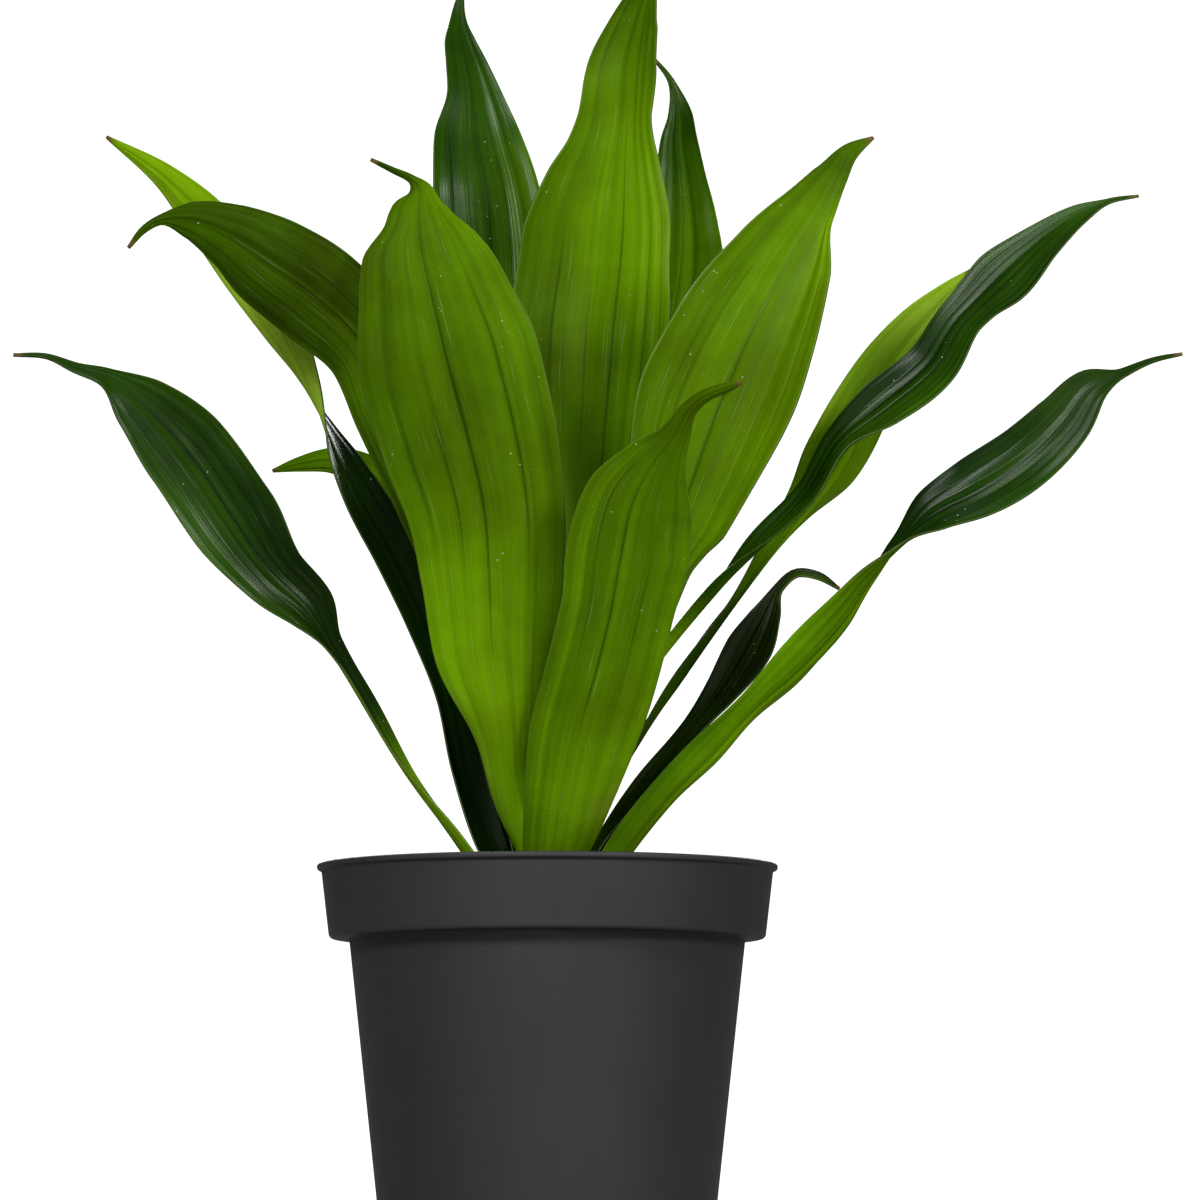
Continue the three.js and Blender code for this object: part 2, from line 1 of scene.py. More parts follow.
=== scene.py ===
"""A dragon tree in a plastic nursery pot, dressed over its solid model and set on a pale studio floor.

Lengths of the plant and pot are in millimetres, as in the solid model, and MM turns them into metres.
"""

import math
import random

import bmesh
import bpy
import numpy as np
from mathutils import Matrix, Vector, noise


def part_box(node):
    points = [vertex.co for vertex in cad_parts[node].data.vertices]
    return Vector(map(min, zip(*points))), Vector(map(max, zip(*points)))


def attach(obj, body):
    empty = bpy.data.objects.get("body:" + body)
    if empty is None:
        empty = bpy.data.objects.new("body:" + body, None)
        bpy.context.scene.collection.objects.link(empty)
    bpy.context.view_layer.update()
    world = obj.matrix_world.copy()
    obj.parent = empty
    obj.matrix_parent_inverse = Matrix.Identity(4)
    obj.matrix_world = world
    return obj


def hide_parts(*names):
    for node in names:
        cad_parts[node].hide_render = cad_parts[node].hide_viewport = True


bl_info = {
    "name": "Potted dragon tree",
    "version": (1, 0, 0),
    "blender": (4, 5, 0),
    "location": "3D View > Sidebar > Dragon tree",
    "description": "Builds the pot, soil, stem and leaves of a dragon tree, and its studio",
    "category": "Object",
}

MM = 0.001
SEED = 11

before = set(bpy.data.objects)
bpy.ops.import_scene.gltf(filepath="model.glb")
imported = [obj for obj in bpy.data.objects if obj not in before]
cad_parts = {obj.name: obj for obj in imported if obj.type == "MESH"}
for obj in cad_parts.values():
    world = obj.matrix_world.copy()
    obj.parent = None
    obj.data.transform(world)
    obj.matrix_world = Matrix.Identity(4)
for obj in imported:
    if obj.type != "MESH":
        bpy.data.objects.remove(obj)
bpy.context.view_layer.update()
POT_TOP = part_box("pot")[1]

# ---------------- leaves, oldest first
# node      height on the stem where the leaf grows
# azimuth   side of the stem it grows from: 0 right, 90 back, 180 left, -90 front
# clasp     half-width where it wraps the stem
# olive     how yellowish its dark greens are
# ripple    (height, count, phase) of the waves along its margins
# pleats    (depth, count, phase) of the soft pleats along it
# furrows   where its sharp furrows run across it, the midrib's first, from -1 to 1
# upper     tones of its upper side as (place along it, tone at either margin), from 0, nearly black,
#           to 1.25, pale yellow-green. Besides the leaf's own colour they hold painted shade where
#           the leaf lies in shadow and painted sheen where light glances off it
# under     the same for its under side
# stations  x, y, z of the midrib, its half-width or the half-widths on its two sides, and then,
#           where they change, the way its upper side faces and how far each half curls up. Facing
#           is 0 to the front, 90 to the right, -90 to the left and 180 to the back. For a leaf
#           that grows to the back, 0 is halfway between the front and straight up.

REAR_TONES = {
    "upper": ((0.3, 0.45, 0.4), (0.8, 0.35, 0.35)),
    "under": ((0.05, 1, 1), (0.4, 0.7, 0.65), (0.9, 0.5, 0.5)),
}
LEAVES = {
    "right_low": dict(
        node=119, azimuth=-18, clasp=8, olive=0, ripple=(1.6, 4, 0.2), pleats=(0.22, 3, 0.4),
        furrows=(0, 0.25, -0.28, 0.5, -0.55),
        upper=((0.55, 0.3, 0.3), (0.68, 0.15, 0.4), (0.85, 0.35, 0.35)),
        under=((0.1, 1.25, 0.6), (0.28, 1.25, 0.6), (0.38, 0.95, 0.75), (0.6, 0.8, 0.8)),
        stations=(
            (29, -9, 154, 9, -125, 55), (45, -14, 174, 8.5, -130, 55), (60, -18, 189, 9.5, -138, 55),
            (76, -22, 206, 8, -132, 55), (91, -25, 219, 9.4, 10, -130, 55),
            (108, -28, 237, 11.2, 11, -124, 50), (119, -30, 253, 9, 10, -107, 45),
            (129, -32, 265, 8.5, -75, 40), (142, -34, 276, 12.4, 13.2, -40, 32),
            (158, -36, 284, 14.6, 13.5, -28, 25), (176, -38, 296, 13.6, 12.2, -20, 20),
            (189, -40, 309, 11.8, 10.7, -15, 20), (199, -41, 322, 7.5), (210, -42, 327.2, 1.8, 2.2),
            (222, -43, 332, 1), (232, -44, 334, 0.6),
        ),
    ),
    "left_low": dict(
        node=121, azimuth=-168, clasp=8, olive=0.15, ripple=(1.2, 4, 0.6), pleats=(0.24, 3.5, 1.2),
        furrows=(0, -0.22, 0.25, -0.45, 0.5, 0.7),
        upper=((0.25, 0.8, 0.8), (0.35, 0.35, 0.3), (0.45, 0.3, 0.15), (0.62, 0.5, 0.2), (0.85, 0.3, 0.4)),
        under=((0.1, 1, 1.1), (0.3, 1.1, 0.8), (0.5, 0.7, 0.6)),
        stations=(
            (-32, -6, 155, 7, 95, 50), (-52.6, -12, 184, 4.6, 75, 60), (-71, -20, 215, 4.8, 55, 50),
            (-79.2, -24, 229.2, 5.6, 40, 40), (-87, -28, 242, 10.5, 20, 35), (-100, -32, 254, 12.5, 5, 25),
            (-115, -38, 275, 17, 0, 20), (-131, -42, 298, 16.5, -5, 18),
            (-148, -44, 316, 11.5, 10.6, 0, 20), (-161, -44, 326, 4.5, 3, 10, 25),
            (-172, -43, 329.6, 2.8, 1.3), (-183, -42, 333.4, 1, 0.9, 10, 20), (-195, -41, 334, 0.6),
        ),
    ),
    "rear_centre": dict(
        node=124, azimuth=92, clasp=8, olive=0, ripple=(1.5, 3, 0.1), pleats=(0.22, 3, 2),
        furrows=(0, -0.53, -0.23, 0.35, 0.67),
        **REAR_TONES,
        stations=(
            (2, 30, 156, 8, 0, 55), (4, 52, 190, 7, 0, 50), (6, 76, 225, 9, 0, 40),
            (8, 104, 256, 15, 0, 28), (10, 134, 280, 20, 0, 22), (11, 166, 294, 20, 0, 20),
            (11, 196, 297, 14), (10, 220, 290, 6), (8, 236, 281, 0.6),
        ),
    ),
    "right_short": dict(
        node=127, azimuth=-8, clasp=7, olive=1, ripple=(0.8, 3, 0.3), pleats=(0.2, 3, 0.9),
        furrows=(0, -0.51, -0.2, 0.22, 0.59),
        upper=((0.12, 0.8, 0.7), (0.25, 0.35, 0.2), (0.5, 0.2, 0.4), (0.78, 0.15, 0.2), (0.9, 0.2, 0.5)),
        under=((0.1, 0.4, 0.4), (0.3, 0.2, 0.2), (0.95, 0.5, 0.5)),
        stations=(
            (20, -3, 155, 6, -70, 50), (36, -1, 177, 6.5, -55, 50), (53, -1, 198, 6.5, -45, 40),
            (65, 0, 213, 8, -35, 30), (75, 1, 229, 10, -30, 25), (81, 2, 242, 6.5, -25, 25),
            (86, 3, 253, 2.2), (92, 2, 258, 2), (100, 0, 257, 1.8), (108, -2, 252, 0.6),
        ),
    ),
    "left_twisted": dict(
        node=130, azimuth=172, clasp=8, olive=0, ripple=(1, 4, 0.4), pleats=(0.22, 3, 0.2),
        furrows=(0, -0.48, -0.25, 0.36, 0.54),
        # painted shade: the nearly black upper side is shade on this leaf's inner face; painted light: the
        # 1.25 tones of its under side from 0.6 to 0.76 paint the light that shines through it and a pale
        # sheen
        upper=((0.05, 0.05, 0.1), (0.2, 0.25, 0.1), (0.45, 0.3, 0.05), (0.55, 0.7, 0.1)),
        under=((0.3, 0.7, 0.7), (0.6, 1.25, 1.25), (0.76, 1.25, 1.25), (0.85, 0.9, 1.15), (0.95, 0.95, 1)),
        stations=(
            (-22, 2, 155, 8, 40, 50), (-31, 5, 185, 9, 38, 45), (-37, 9, 214, 8, 35, 35),
            (-46, 13, 240, 8.5, 32, 28), (-58, 16, 266, 10.5, 35, 25), (-71, 18, 289, 13, 50, 25),
            (-78, 19, 303, 13, 65, 25), (-84, 20, 317, 11, 88, 25), (-91, 21, 333, 9, 115, 25),
            (-102, 23, 355, 11, 138, 25), (-116, 26, 377, 11.5, 150, 25), (-131, 28, 396, 9.5),
            (-145, 30, 411, 5.5), (-167, 32, 427, 0.6),
        ),
    ),
    "rear_right": dict(
        node=132, azimuth=62, clasp=6, olive=0, ripple=(1.4, 3, 0.5), pleats=(0.22, 3, 1.5),
        furrows=(0, -0.55, -0.31, 0.31, 0.61),
        **REAR_TONES,
        stations=(
            (14, 23, 157, 8, -30, 55), (22, 40, 190, 7, -25, 50), (31, 59, 226, 9, -20, 40),
            (42, 80, 262, 14, -15, 30), (54, 101, 294, 18, -10, 24), (64, 123, 318, 18, -5, 20),
            (72, 146, 332, 13, 0, 20), (77, 167, 334, 6), (80, 184, 328, 0.6),
        ),
    ),
    "rear_left": dict(
        node=136, azimuth=112, clasp=6, olive=0, ripple=(1.4, 3, 0.8), pleats=(0.22, 3, 2.6),
        furrows=(0, -0.63, -0.32, 0.26, 0.67),
        **REAR_TONES,
        stations=(
            (-13, 22, 158, 7, 30, 55), (-22, 36, 190, 7, 25, 50), (-29, 54, 224, 9, 20, 40),
            (-35, 75, 256, 14, 15, 30), (-40, 98, 282, 18, 10, 24), (-43, 122, 300, 18, 5, 20),
            (-44, 146, 308, 13, 0, 20), (-43, 168, 304, 6), (-41, 186, 295, 0.6),
        ),
    ),
    "right_pale": dict(
        node=138, azimuth=36, clasp=7, olive=0.7, ripple=(1, 4, 0.7), pleats=(0.22, 3, 0.7),
        furrows=(0, -0.51, -0.32, 0.35, 0.54),
        upper=((0.2, 0.5, 0.5), (0.6, 0.4, 0.4)),
        under=(
            (0.25, 0.55, 0.5), (0.42, 0.5, 0.35), (0.55, 0.95, 0.8), (0.75, 0.8, 1.1), (0.9, 1.25, 1.1),
        ),
        stations=(
            (15, 12, 155, 6, -55, 60), (23, 16, 177, 6, -70, 55), (35, 18, 198, 5.5, -80, 55),
            (51.4, 22, 222.4, 6.4, 5, -96, 55), (67.6, 27, 246.4, 5.6, 5), (83, 31, 268, 7.6, 7, -104, 50),
            (95, 34, 284, 10.4, 9.5, -125, 40), (108, 36, 304, 16.4, 14.6, -140, 30),
            (118, 38, 324, 15, 12.6, -145, 25), (129, 40, 342, 11), (140, 42, 356, 9), (152, 43, 369, 5),
            (160, 44, 378, 0.6),
        ),
    ),
    "front_short": dict(
        node=139, azimuth=-80, clasp=10, olive=1, ripple=(0.8, 3, 0), pleats=(0.24, 3, 1.4),
        furrows=(0.1, -0.4, 0.5),
        upper=((0.2, 0.7, 0.7), (0.6, 0.5, 0.5)),
        under=(
            (0.05, 0.75, 0.6), (0.15, 1.15, 0.8), (0.35, 0.75, 0.6), (0.6, 0.65, 0.65), (0.9, 0.65, 0.6),
        ),
        stations=(
            (6, -18, 160, 17, -172, 60), (9, -27, 176, 18.5, -175, 40), (13, -35, 194, 20.5, -178, 30),
            (19, -42, 214, 21, -180, 25), (25, -49, 237, 21, -180, 22), (29, -57, 257, 23),
            (33, -65, 276, 20.5), (39, -72, 289, 13), (46, -79, 299, 6, -175, 22),
            (52, -86, 309, 3, -165, 25), (58, -90, 313, 2.4, -155, 30), (64, -92, 315, 2.2, -150, 30),
            (70, -94, 317, 0.6),
        ),
    ),
    "left_short": dict(
        node=142, azimuth=146, clasp=7, olive=1, ripple=(0.8, 3, 0.2), pleats=(0.2, 3, 1.9),
        furrows=(0, -0.53, -0.33, 0.22, 0.66),
        upper=((0.3, 0.4, 0.4), (0.8, 0.4, 0.4)),
        under=((0.3, 0.7, 0.7), (0.85, 0.85, 0.9), (0.95, 0.6, 0.8)),
        stations=(
            (-12, 12, 159, 7, 60, 60), (-20, 20, 188, 8, 75, 50), (-30, 28, 222, 10, 90, 40),
            (-43, 37, 255, 11, 110, 30), (-57, 45, 284, 11, 130, 25), (-70, 50, 301, 8, 145, 25),
            (-82, 54, 306, 5.5, 150, 25), (-95, 56, 305, 3), (-105, 58, 303, 0.6),
        ),
    ),
    "right_high": dict(
        node=145, azimuth=0, clasp=7, olive=0, ripple=(1.6, 5, 0.1), pleats=(0.24, 3, 0.5),
        furrows=(0, 0.3, -0.3, -0.6, 0.62),
        upper=(
            (0.42, 0.45, 0.9), (0.55, 0.35, 0.5), (0.66, 0.15, 0.55), (0.85, 0.4, 0.3), (0.95, 0.5, 0.3),
        ),
        under=((0.25, 1.25, 1.15), (0.35, 0.8, 0.45), (0.5, 0.6, 0.55)),
        stations=(
            (13, 0, 165, 6, -85, 60), (21, 6, 190, 6, -95, 55), (33, 8, 214, 6, -105, 55),
            (49, 9, 236, 5.5), (62, 8, 251, 5, -90, 55), (79, 6, 269, 6, -65, 50),
            (97, 3, 287, 8, -50, 45), (110, 0, 307, 9, -45, 40), (126, -3, 319, 12.5, -40, 35),
            (144, -6, 334, 13.5, -40, 30), (155, -8, 351, 12.5, 12.2), (160.5, -8.8, 356.2, 13.6, 11.9),
            (170, -10, 365, 15.5), (184, -11, 379, 10.5), (198, -12, 390, 5.5), (208, -13, 395, 1.5),
            (219, -14, 397, 0.6),
        ),
    ),
    "front_broad": dict(
        node=146, azimuth=-124, clasp=8, olive=1, ripple=(1.2, 4, 0.4), pleats=(0.34, 3.2, 0.8),
        furrows=(0, 0.3, -0.5, 0.65),
        upper=((0.1, 0.9, 0.9), (0.5, 0.75, 0.75), (0.95, 0.5, 0.5)),
        under=(
            (0.05, 1.1, 1), (0.15, 0.6, 1.15), (0.4, 0.65, 0.95), (0.55, 0.6, 0.65), (0.9, 0.75, 0.55),
            (0.97, 0.45, 0.35),
        ),
        stations=(
            (-11, -12, 167, 14, 155, 70), (-14, -18, 182, 13, 160, 55), (-16, -25, 200, 17, 165, 45),
            (-20, -31, 226, 24.5, 170, 35), (-21, -36, 252, 27.5, 172, 28), (-23, -41, 278, 30, 174, 24),
            (-29, -45, 304, 33, 175, 20), (-36, -48, 330, 34), (-42, -49, 355, 28.5),
            (-46, -48, 373, 22.5), (-47, -46.5, 383, 15.5, 12.6), (-47, -45, 388, 11, 10.8),
            (-47, -41, 395, 5, 4.8), (-50, -36, 399.6, 1.8, 1.3), (-57, -32, 403.8, 1),
            (-65, -30, 408, 0.6),
        ),
    ),
    "back_left": dict(
        node=149, azimuth=112, clasp=6, olive=0.1, ripple=(1.6, 4, 0.5), pleats=(0.24, 3.5, 1.1),
        furrows=(0, -0.3, 0.35, 0.62, -0.6),
        upper=((0.6, 0.6, 0.65), (0.8, 0.35, 0.65), (0.93, 0.35, 0.35)),
        under=((0.2, 0.9, 0.9), (0.5, 0.65, 0.65), (0.95, 0.4, 0.4)),
        stations=(
            (-7, 12, 163, 6, 25, 70), (-10, 23, 188, 8, 22, 55), (-12, 35, 229, 11, 15, 40),
            (-14, 45, 270, 15, 10, 30), (-18, 55, 311, 19, 10, 25), (-21, 63, 352, 22, 10, 22),
            (-22, 68, 385, 23, 8, 20), (-24, 72, 412, 22, 20.5, 5, 20), (-28, 76, 434, 17.5, 17),
            (-30, 80, 453, 10, 10.8), (-32, 83, 464, 8.6, 7.8), (-34, 86, 473, 7, 5.5),
            (-35, 89, 482, 3.8, 2.8), (-34, 92, 497, 0.6),
        ),
    ),
    "left_arching": dict(
        node=151, azimuth=-170, clasp=6, olive=1, ripple=(1.4, 4, 0.6), pleats=(0.26, 3.5, 2.2),
        furrows=(0, 0.28, -0.35, 0.6),
        upper=((0.3, 0.55, 0.55), (0.8, 0.45, 0.45)),
        under=((0.2, 0.8, 0.8), (0.45, 0.7, 0.5), (0.6, 0.85, 0.7), (0.75, 0.45, 0.45), (0.95, 0.5, 0.55)),
        stations=(
            (-9, -3, 168, 9, 115, 70), (-15, -7, 188, 12, 125, 55), (-26, -12, 218, 13, 135, 40),
            (-35, -19, 251, 12, 145, 30), (-47, -22, 285, 13, 150, 25), (-59, -24, 315, 16, 155, 25),
            (-68, -26, 340, 17.5, 160, 25), (-86, -28, 358, 20), (-102, -30, 369, 18.5),
            (-117, -31, 379, 13), (-132, -31, 385, 7), (-143, -31, 385, 1.8), (-148, -31, 382, 1.4),
            (-154, -31, 375, 0.6),
        ),
    ),
    "back_right": dict(
        node=154, azimuth=70, clasp=5, olive=0, ripple=(1.2, 4, 0.3), pleats=(0.24, 3, 0.3),
        furrows=(0, -0.35, 0.3, -0.62),
        upper=((0.65, 1.25, 1.15), (0.76, 1, 0.7), (0.85, 0.55, 0.65), (0.95, 0.45, 0.5)),
        under=((0.3, 0.8, 0.8), (0.6, 0.65, 0.65), (0.95, 0.7, 0.7)),
        stations=(
            (7, 14, 166, 5, -25, 70), (12, 25, 190, 7, -22, 55), (19, 33, 229, 10, -15, 40),
            (25, 43, 270, 13, -12, 30), (34, 52, 311, 15, -10, 25), (44, 59, 348, 17, -10, 22),
            (50, 63, 378, 16.5, 17.5, -8, 20), (51, 66, 400, 13.5, 13.6, -5, 20), (50, 68, 419, 9.5, 9.7),
            (49, 70, 432, 6.6, 7.9), (49, 71, 442, 3.6, 6), (47, 73, 455, 1.5), (40, 75, 465, 0.6),
        ),
    ),
    "right_broad": dict(
        node=157, azimuth=-4, clasp=6, olive=1, ripple=(1.2, 4, 0.9), pleats=(0.3, 3.5, 2.4),
        furrows=(-0.18, 0.35, -0.55, -0.72, 0.68),
        upper=((0.3, 0.85, 0.9), (0.5, 0.7, 0.8), (0.7, 0.75, 0.75), (0.87, 0.7, 0.95), (0.95, 0.55, 0.6)),
        under=((0.1, 1, 1), (0.5, 0.85, 0.85)),
        stations=(
            (8, -2, 172, 7, -70, 75), (13, -2, 184, 10, -55, 60), (25, -4, 207, 13, 11, -40, 45),
            (40, -6, 240, 17, 8.5, -30, 40), (46, -7.5, 258, 21.5, 9.5, -28, 39),
            (49.4, -8.2, 267, 24, 13.5, -26.5, 38.5), (53, -9, 276, 27, 19.5, -25, 38),
            (71, -11, 320, 38, 26.5, -22, 38), (82, -12, 346, 35, 23, -20, 36),
            (94, -12, 371, 27, 14.5, -20, 34), (103, -11, 389, 19.5, 3.4, -20, 30),
            (109, -10, 404, 11, 2.6), (113, -9, 413, 5.5, 2.4), (121, -8, 420, 0.6),
        ),
    ),
    "centre_tall": dict(
        node=161, azimuth=124, clasp=5, olive=1, ripple=(1.4, 4, 0.2), pleats=(0.34, 4, 0.1),
        furrows=(0, -0.3, 0.45, -0.62, 0.72),
        # painted sheen: the tones of 1.15 and 1.25 at the right margin from 0.66 to 0.76 paint a whitish
        # highlight on the right half, and the pale left margin at 0.4 paints light over its shaded low part
        upper=(
            (0.4, 1.25, 0.7), (0.55, 0.55, 0.8), (0.66, 0.6, 1.25), (0.76, 0.65, 1.15), (0.87, 0.7, 0.8),
            (0.95, 0.55, 0.65),
        ),
        under=((0.1, 1, 1), (0.5, 0.8, 0.8)),
        stations=(
            (0, 9, 176, 8, 5, 80), (2, 12, 190, 9, 0, 60), (8, 17, 220, 13, -5, 45),
            (16, 20, 255, 22, -12, 40), (19, 23, 288, 30, 29, -20, 42), (22, 25, 322, 37, 34, -25, 45),
            (25, 26, 356, 42, 37, -27, 48), (28, 26, 386, 40, 32), (29, 25, 412, 30, 22),
            (29.5, 24.5, 425, 22.4, 16.4, -27, 46.5), (30, 24, 434, 19.6, 14.4, -27, 45),
            (31, 23, 453, 17, 16, -25, 40), (34, 22, 468, 12, -20, 35), (37, 20, 480, 7, 5, -15, 30),
            (38, 18, 491, 0.6),
        ),
    ),
    "spear": dict(
        node=166, azimuth=210, clasp=6, olive=1, ripple=(0, 1, 0), pleats=(0.1, 2, 0), furrows=(0,),
        upper=((0.5, 0.85, 0.85),),
        under=((0.5, 0.85, 0.85),),
        stations=(
            (-4, -2.3, 178, 12, 120, 150), (-4, -2.3, 205, 12), (-5, -2, 235, 9, 110, 150),
            (-5.5, -2.5, 262, 5, 110, 140), (-6.5, -3, 284, 0.8, 110, 100),
        ),
    ),
}
YOUNG = ("front_short", "front_broad", "right_broad", "centre_tall", "spear")


# ---------------- smooth curves through stations


def slopes(knots, values, level):
    """Slopes of a curve at its knots. Level ones are flat at each peak and dip, and never overshoot."""
    steps = np.diff(knots)
    rises = np.diff(values) / steps
    result = np.empty(len(knots))
    result[0], result[-1] = rises[0], rises[-1]
    for i in range(1, len(knots) - 1):
        before, after = rises[i - 1], rises[i]
        near, far = steps[i - 1], steps[i]
        if not level:
            result[i] = (before * far + after * near) / (near + far)
        elif before * after <= 0:
            result[i] = 0
        else:
            result[i] = 3 * (near + far) / ((2 * far + near) / before + (far + 2 * near) / after)
    return result


def curve(knots, values, level):
    """A smooth function through values at knots, for an array of places."""
    knots, values = np.array(knots, float), np.array(values, float)
    m = slopes(knots, values, level)

    def at(t):
        i = np.clip(np.searchsorted(knots, t) - 1, 0, len(knots) - 2)
        h = knots[i + 1] - knots[i]
        u = (t - knots[i]) / h
        start = values[i] * (1 + 2 * u) * (1 - u) ** 2 + m[i] * h * u * (1 - u) ** 2
        return start + values[i + 1] * u * u * (3 - 2 * u) + m[i + 1] * h * u * u * (u - 1)

    return at


def smoothstep(x, low, high):
    u = np.clip((x - low) / (high - low), 0, 1)
    return u * u * (3 - 2 * u)


def unit(vectors):
    return vectors / np.linalg.norm(vectors, axis=-1, keepdims=True)


# ---------------- the stem and a leaf's surface

STEM = {"foot": 74, "radius": 9, "first_node": 119, "tip": 170, "tip_radius": 2.8}
STEM_SCAR = {"depth": 0.25, "spacing": 3.1}
CLEARANCE = 0.3
BLADE = {"edge": 0.75, "base_rib": 0.5, "sheath": 32, "full_width": 30}
# line, trough and sway in half-widths of the leaf, side_depth as a share of the midrib's furrow,
# and depth as a share of the pleats' depth
FURROW = {"line": 0.022, "trough": 0.085, "sway": 0.03, "side_depth": 0.85, "depth": 1.4}


def stem_radius(z):
    """Radius of the stem at a height above its first leaf."""
    share = np.clip((z - STEM["first_node"]) / (STEM["tip"] - STEM["first_node"]), 0, 1)
    return STEM["radius"] - (STEM["radius"] - STEM["tip_radius"]) * share**1.5


def in_full(stations):
    """Each station as x, y, z, both half-widths, facing and curl."""
    turn = ()
    for x, y, z, *rest in stations:
        if len(rest) > 2:
            *rest, facing, curl = rest
            turn = facing, curl
        yield x, y, z, rest[0], rest[-1], *turn


class LeafSurface:
    """The middle surface of one leaf, in millimetres: t along its midrib, v from -1 to 1 across it."""

    def __init__(self, leaf):
        out = math.radians(leaf["azimuth"])
        reach = stem_radius(leaf["node"]) + CLEARANCE + (BLADE["edge"] + BLADE["base_rib"]) / 2
        root = [reach * math.cos(out), reach * math.sin(out), leaf["node"], leaf["clasp"], leaf["clasp"]]
        rows = np.array([[*root, leaf["azimuth"] - 90, 90], *in_full(leaf["stations"])], float)
        rows[0, 5] += 360 * round((rows[1, 5] - rows[0, 5]) / 360)
        knots = np.concatenate([[0], np.cumsum(np.linalg.norm(np.diff(rows[:, :3], axis=0), axis=1))])
        self.place = [curve(knots, rows[:, i], False) for i in range(3)]
        self.shape = [curve(knots, rows[:, i], True) for i in range(3, 7)]
        self.length = knots[-1]
        # the direction that facing is measured from, tilted up for a leaf that grows to the back
        self.front = unit(np.array([0, -1, 1 if math.sin(out) > 0.7 else 0], float))
        self.ripple, self.pleats = leaf["ripple"], leaf["pleats"]
        self.rib, *self.furrows = leaf["furrows"]
        self.tones = [np.array(leaf[side]).T for side in ("upper", "under")]

    def midrib(self, t):
        return np.stack([axis(t) for axis in self.place], axis=-1)

    def folds(self, t, v):
        """How deep a point lies in the furrows between a leaf's veins: 1 at the bottom of one."""
        share = t / self.length
        depth = self.furrow(v - self.rib) * smoothstep(share, 0.12, 0.42)
        depth *= 1 - 0.4 * smoothstep(share, 0.6, 0.9)
        for number, place in enumerate(self.furrows):
            sway = FURROW["sway"] * np.sin(5 * share + 2.3 * number + place)
            start, end = 0.18 + 0.06 * number % 0.25, 0.55 + 0.17 * number % 0.3
            ends = smoothstep(share, start, 0.5) * (1 - smoothstep(share, end, 0.92))
            depth += FURROW["side_depth"] * ends * self.furrow(v - place - sway)
        return depth

    def breadth(self, share):
        """How broad the leaf is, as a share of a fully broad one and at most 1."""
        t = share * self.length
        return np.minimum(1, (self.shape[0](t) + self.shape[1](t)) / BLADE["full_width"])

    def furrow(self, away):
        """A sharp line at the bottom of a soft trough."""
        line, trough = (np.exp(-((away / FURROW[width]) ** 2)) for width in ("line", "trough"))
        return 0.6 * line + 0.4 * trough

    def relief(self, t, v):
        """The furrows, and the broad soft pleats between them, in millimetres."""
        share = t / self.length
        swell = np.sin(math.pi * np.clip(share, 0, 1)) ** 0.5 * smoothstep(t, 10, 70)
        depth, count, phase = self.pleats
        drift = 0.35 * np.sin(3 * share + phase)
        pleat = np.cos(math.pi * count * v + 1.7 * v * v + drift)
        pleat += 0.5 * np.cos(1.7 * math.pi * count * v + phase + 2 * drift)
        return depth * swell * ((1 - v**6) * pleat - FURROW["depth"] * self.folds(t, v))

    def tone(self, side, share, v):
        """How pale one side is, painted shade and painted sheen included: 0 for the upper side and 1 for the
        under side.
        """
        places, *margins = self.tones[side]
        left, right = (np.interp(share, places, margin) for margin in margins)
        return left + (right - left) * (v + 1) / 2

    def at(self, t, v):
        """Points of the surface. It clasps the stem at its root and opens into the blade."""
        centre = self.midrib(t)
        ahead_t, behind_t = np.minimum(t + 0.5, self.length), np.maximum(t - 0.5, 0)
        along = unit(self.midrib(ahead_t) - self.midrib(behind_t))
        near, far, facing, curl = (column(t) for column in self.shape)
        ahead = unit(self.front - along * (along @ self.front)[:, None])
        turn = np.radians(facing)[:, None]
        up = ahead * np.cos(turn) + np.cross(along, ahead) * np.sin(turn)
        side = np.cross(along, up)
        half = np.where(v < 0, near, far)
        bend = np.maximum(np.radians(curl), 0.01)
        radius = half / bend
        share = t / self.length
        height, ripples, phase = self.ripple
        wave = height * np.sin(math.pi * share) ** 2 * np.abs(v) ** 3
        lift = wave * np.sin(2 * math.pi * (ripples * share + phase + np.where(v > 0, 0.3, 0)))
        lift += self.relief(t, v)
        across = np.sign(v) * radius * np.sin(bend * np.abs(v))
        rise = radius * (1 - np.cos(bend * v)) + lift
        blade = centre + side * across[:, None] + up * rise[:, None]
        x, y, z = centre.T
        swing = -v * half / np.hypot(x, y)
        cos, sin = np.cos(swing), np.sin(swing)
        sheath = np.stack([x * cos - y * sin, x * sin + y * cos, z], axis=-1)
        opened = smoothstep(t, 0, BLADE["sheath"])[:, None]
        return sheath * (1 - opened) + blade * opened


# ---------------- helpers for pieces


def new_piece(name, bm, materials, smooth=True):
    """A mesh object made from bm, in the scene, with its materials."""
    if not bm.faces:
        raise RuntimeError(name + " has no faces")
    mesh = bpy.data.meshes.new(name)
    bm.to_mesh(mesh)
    bm.free()
    for material in materials:
        mesh.materials.append(material)
    mesh.polygons.foreach_set("use_smooth", [smooth] * len(mesh.polygons))
    piece = bpy.data.objects.new(name, mesh)
    bpy.context.scene.collection.objects.link(piece)
    return piece


def put_in_place(piece, slot, *nodes):
    """The piece rides on the plant's one body and stands for these solids, which are hidden. The slot is not
    used.
    """
    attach(piece, "root")
    if nodes:
        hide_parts(*nodes)


